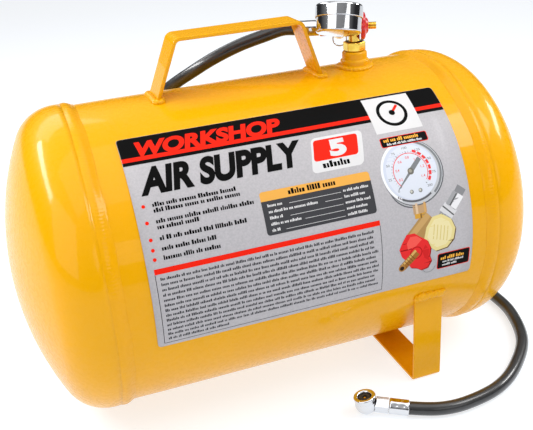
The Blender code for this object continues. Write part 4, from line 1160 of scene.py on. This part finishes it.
# Pressure gauge. Chromed cup and bezel, clear lens, white dial with a plain scale, black pointer,
# brass stem; the movement and its tube sit behind the dial.
GAUGE_NORMAL = np.array((0.200893, 0.293844, 0.934504))
GAUGE_CENTRE = GAUGE_PORT + 0.0335 * GAUGE_DIR + 0.0046 * GAUGE_NORMAL
chrome = finish_of("bright_chrome", (0.70, 0.71, 0.73), 0.05, 1.0)
add_grain(chrome, 900.0, 3.0, 0.03, 0.09, 0.015, 0.00005)
CASE_R = 0.0184
case_profile = softened(
    [(0.0, -0.0103), (0.0174, -0.0103), (0.0174, 0.0080), (CASE_R, 0.0080),
     (CASE_R, -0.0103), (0.0172, -0.0113), (0.0, -0.0113)],
    0.0007,
)
case = [put(turned(case_profile, 128), GAUGE_CENTRE, GAUGE_NORMAL)]
fitting("gauge_cup", "gauge_case", case, chrome, loops=False)
bezel_profile = softened(
    [(0.0166, 0.0101), (0.0166, 0.0113), (0.0182, 0.0113), (0.0194, 0.0101),
     (0.0194, 0.0012), (0.0191, 0.0008), (0.0187, 0.0008), (0.0187, 0.0101)],
    0.0007, closed=True,
)
bezel = [put(turned(bezel_profile, 128), GAUGE_CENTRE, GAUGE_NORMAL)]
fitting("gauge_rim", "gauge_bezel", bezel, chrome)
stem = [
    put(turned(hex_bar(0.0098, 0.0142, 0.0052, 0.0012), 96, hexagon(0.0050)), GAUGE_PORT, GAUGE_DIR),
    put(turned(pipe(0.0038, 0.0050, 0.0100, 0.0012), 40), GAUGE_PORT, GAUGE_DIR),
    put(turned(pipe(0.0038, 0.0140, 0.0235, 0.0012), 40), GAUGE_PORT, GAUGE_DIR),
]
fitting("gauge_stem_hex", "gauge_stem", stem, brass)
lens_side = [(0.0, 0.0098), (0.0178, 0.0098), (0.0180, 0.0090), (0.0180, 0.0083), (0.0, 0.0083)]
lens = [put(turned(softened(lens_side, 0.0003), 96), GAUGE_CENTRE, GAUGE_NORMAL)]
clear = finish_of("lens_clear", (0.96, 0.97, 0.97), 0.02, 0.0, Transmission_Weight=1.0, IOR=1.3)
fitting("gauge_glass", "gauge_lens", lens, clear, loops=False)
dial_enamel = finish_of("dial_enamel", (0.82, 0.82, 0.80), 0.45)
add_grain(dial_enamel, 1200.0, 2.0, 0.40, 0.52, 0.05, 0.00005)
tint(dial_enamel, (0.78, 0.78, 0.76), (0.85, 0.85, 0.83), 200.0)
dial_side = [(0.0012, 0.0032), (0.0171, 0.0032), (0.0171, 0.0024), (0.0012, 0.0024)]
dial = [put(turned(softened(dial_side, 0.0002, closed=True), 96), GAUGE_CENTRE, GAUGE_NORMAL)]
fitting("gauge_face", "gauge_dial", dial, dial_enamel)

print_points, print_faces, print_inks = [], [], []
SWEEP = 270.0
for k in range(33):
    angle = math.radians(225 - SWEEP * k / 32)
    way = np.array((math.cos(angle), math.sin(angle)))
    bar((12.2 if k % 4 == 0 else 13.4) * way, 14.6 * way, 0.42 if k % 4 == 0 else 0.2, BLACK, 1)
hoop(0.0, 0.0, 14.6, 14.9, BLACK, 1, math.radians(-45), math.radians(225), 90)
hoop(0.0, 0.0, 15.2, 15.9, RED, 1, math.radians(-45), math.radians(12), 40)
for k in range(9):
    angle = math.radians(225 - SWEEP * k / 8)
    number = str(20 * k)
    wide = 1.05 * len(number)
    u, v = 10.0 * math.cos(angle), 10.0 * math.sin(angle)
    word(number, u - wide / 2, u + wide / 2, v - 0.85, v + 0.85, BLACK, 1, 0.01)
word("psi", -1.6, 1.6, -7.4, -5.4, BLACK, 1, 0.01)
dial_right = np.cross(GAUGE_DIR, GAUGE_NORMAL)
dial_up = np.cross(GAUGE_NORMAL, dial_right)
dial_print = inked_mesh("dial_print", np.vstack(print_points), print_faces, np.vstack(print_inks))


def on_dial(p):
    """Dial millimetres to points just in front of the dial."""
    flat = p[:, :1] * 0.001 * dial_right + p[:, 1:2] * 0.001 * dial_up
    return GAUGE_CENTRE + flat + 0.00323 * GAUGE_NORMAL


reshape(dial_print, on_dial)
facing_out(dial_print, lambda c: tuple(GAUGE_NORMAL))
dial_print.materials.append(ink_film)
scale = bpy.data.objects.new("dial_scale", dial_print)
bpy.context.scene.collection.objects.link(scale)
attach(scale, "tank")

pointer_black = finish_of("pointer_black", (0.015, 0.015, 0.016), 0.4)
add_grain(pointer_black, 900.0, 2.0, 0.34, 0.48, 0.05, 0.00005)
eased_copy("pointer_needle", "gauge_pointer", pointer_black, "pointer", 0.00008)
bronze = turned_metal("tube_bronze", (0.48, 0.28, 0.14), (0.64, 0.42, 0.24), 0.3)
for node, look in (
    ("gauge_movement", brass),
    ("gauge_bourdon_tube", bronze),
    ("chuck_pin", brass),
):
    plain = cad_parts[node].data
    plain.materials.clear()
    plain.materials.append(look)

# Hose ends. A chromed sleeve is crimped over each end of the hose in a ring of shallow flats.
FERRULE_R = 0.0067
BAND_HALF = 0.0028


def crimped(length):
    """Radius rule: two bands of eight pressed flats along the sleeve."""

    def rule(radius, turn, rise):
        bands = sum(np.exp(-(((rise - share * length) / BAND_HALF) ** 2)) for share in (0.32, 0.70))
        pressed = 0.00045 * bands * (0.55 + 0.45 * np.cos(8 * turn))
        return np.where(radius > 0.0062, radius - pressed, radius)

    return rule


def sleeve(length):
    """Profile of the sleeve: rolled mouth, long side with many rows, and its bore."""
    side = [(FERRULE_R, h) for h in np.linspace(length - 0.0006, 0.0010, 34)]
    mouth = [(HOSE_R + 0.0002, length - 0.0003), (HOSE_R + 0.0005, length), (FERRULE_R - 0.0003, length)]
    foot = [(FERRULE_R - 0.0003, 0.0003), (FERRULE_R - 0.0008, 0.0)]
    bore = [(0.0018, 0.0), (0.0018, 0.0016), (HOSE_R + 0.0002, 0.0016)]
    return np.array([*mouth, *side, *foot, *bore])


for name, node, at, way, length in (
    ("tank_sleeve", "hose_tank_ferrule", HUB - 0.0293 * LINE, -LINE, 0.0186),
    ("chuck_sleeve", "hose_chuck_ferrule", CHUCK_ENTRY + 0.0162 * CHUCK_LINE, -CHUCK_LINE, 0.0162),
):
    fitting(name, node, [put(turned(sleeve(length), 96, crimped(length)), at, way)], chrome)

# Tyre chuck. A chromed hexagon neck carries a chromed ball with a rimmed mouth; in the mouth sit a
# rubber seal and a brass pin that opens the tyre's valve.
BALL = CHUCK_ENTRY + 0.0349 * CHUCK_LINE
BALL_R = 0.0093
MOUTH = np.array((-0.151827, 0.084174, 0.984816))
eased_copy("chuck_neck_hex", "chuck_neck", chrome, "tank", 0.0004)
tilt = np.radians(np.linspace(-90, 18, 30))
bowl = [(BALL_R * math.cos(t), BALL_R * math.sin(t)) for t in tilt]
rim = softened(
    [(0.0089, 0.0029), (0.0090, 0.0050), (0.0093, 0.0056), (0.0093, 0.0070),
     (0.0085, 0.0078), (0.0066, 0.0078), (0.0056, 0.0068), (0.0056, 0.0024),
     (0.0040, 0.0024), (0.0040, -0.0050), (0.0, -0.0050)],
    0.0006,
)
chuck = [put(turned(np.vstack([bowl, rim]), 96), BALL, MOUTH)]
fitting("chuck_ball", "chuck_body", chuck, chrome, loops=False)
spring = surface("chuck_spring_coil", put(coil(0.0026, -0.0043, -0.0007, 3.5, 0.0004), BALL, MOUTH), steel)
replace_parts(spring, "chuck_spring")
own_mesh(spring)
seal_rubber = finish_of("seal_rubber", (0.015, 0.015, 0.015), 0.5)
add_grain(seal_rubber, 1500.0, 3.0, 0.45, 0.60, 0.2, 0.0001)
seal_side = [(0.0020, 0.0064), (0.0044, 0.0064), (0.0053, 0.0058), (0.0053, 0.0027), (0.0020, 0.0027)]
seal = [put(turned(softened(seal_side, 0.0004, closed=True), 64), BALL, MOUTH)]
fitting("chuck_washer", "chuck_seal", seal, seal_rubber)

bpy.context.view_layer.update()
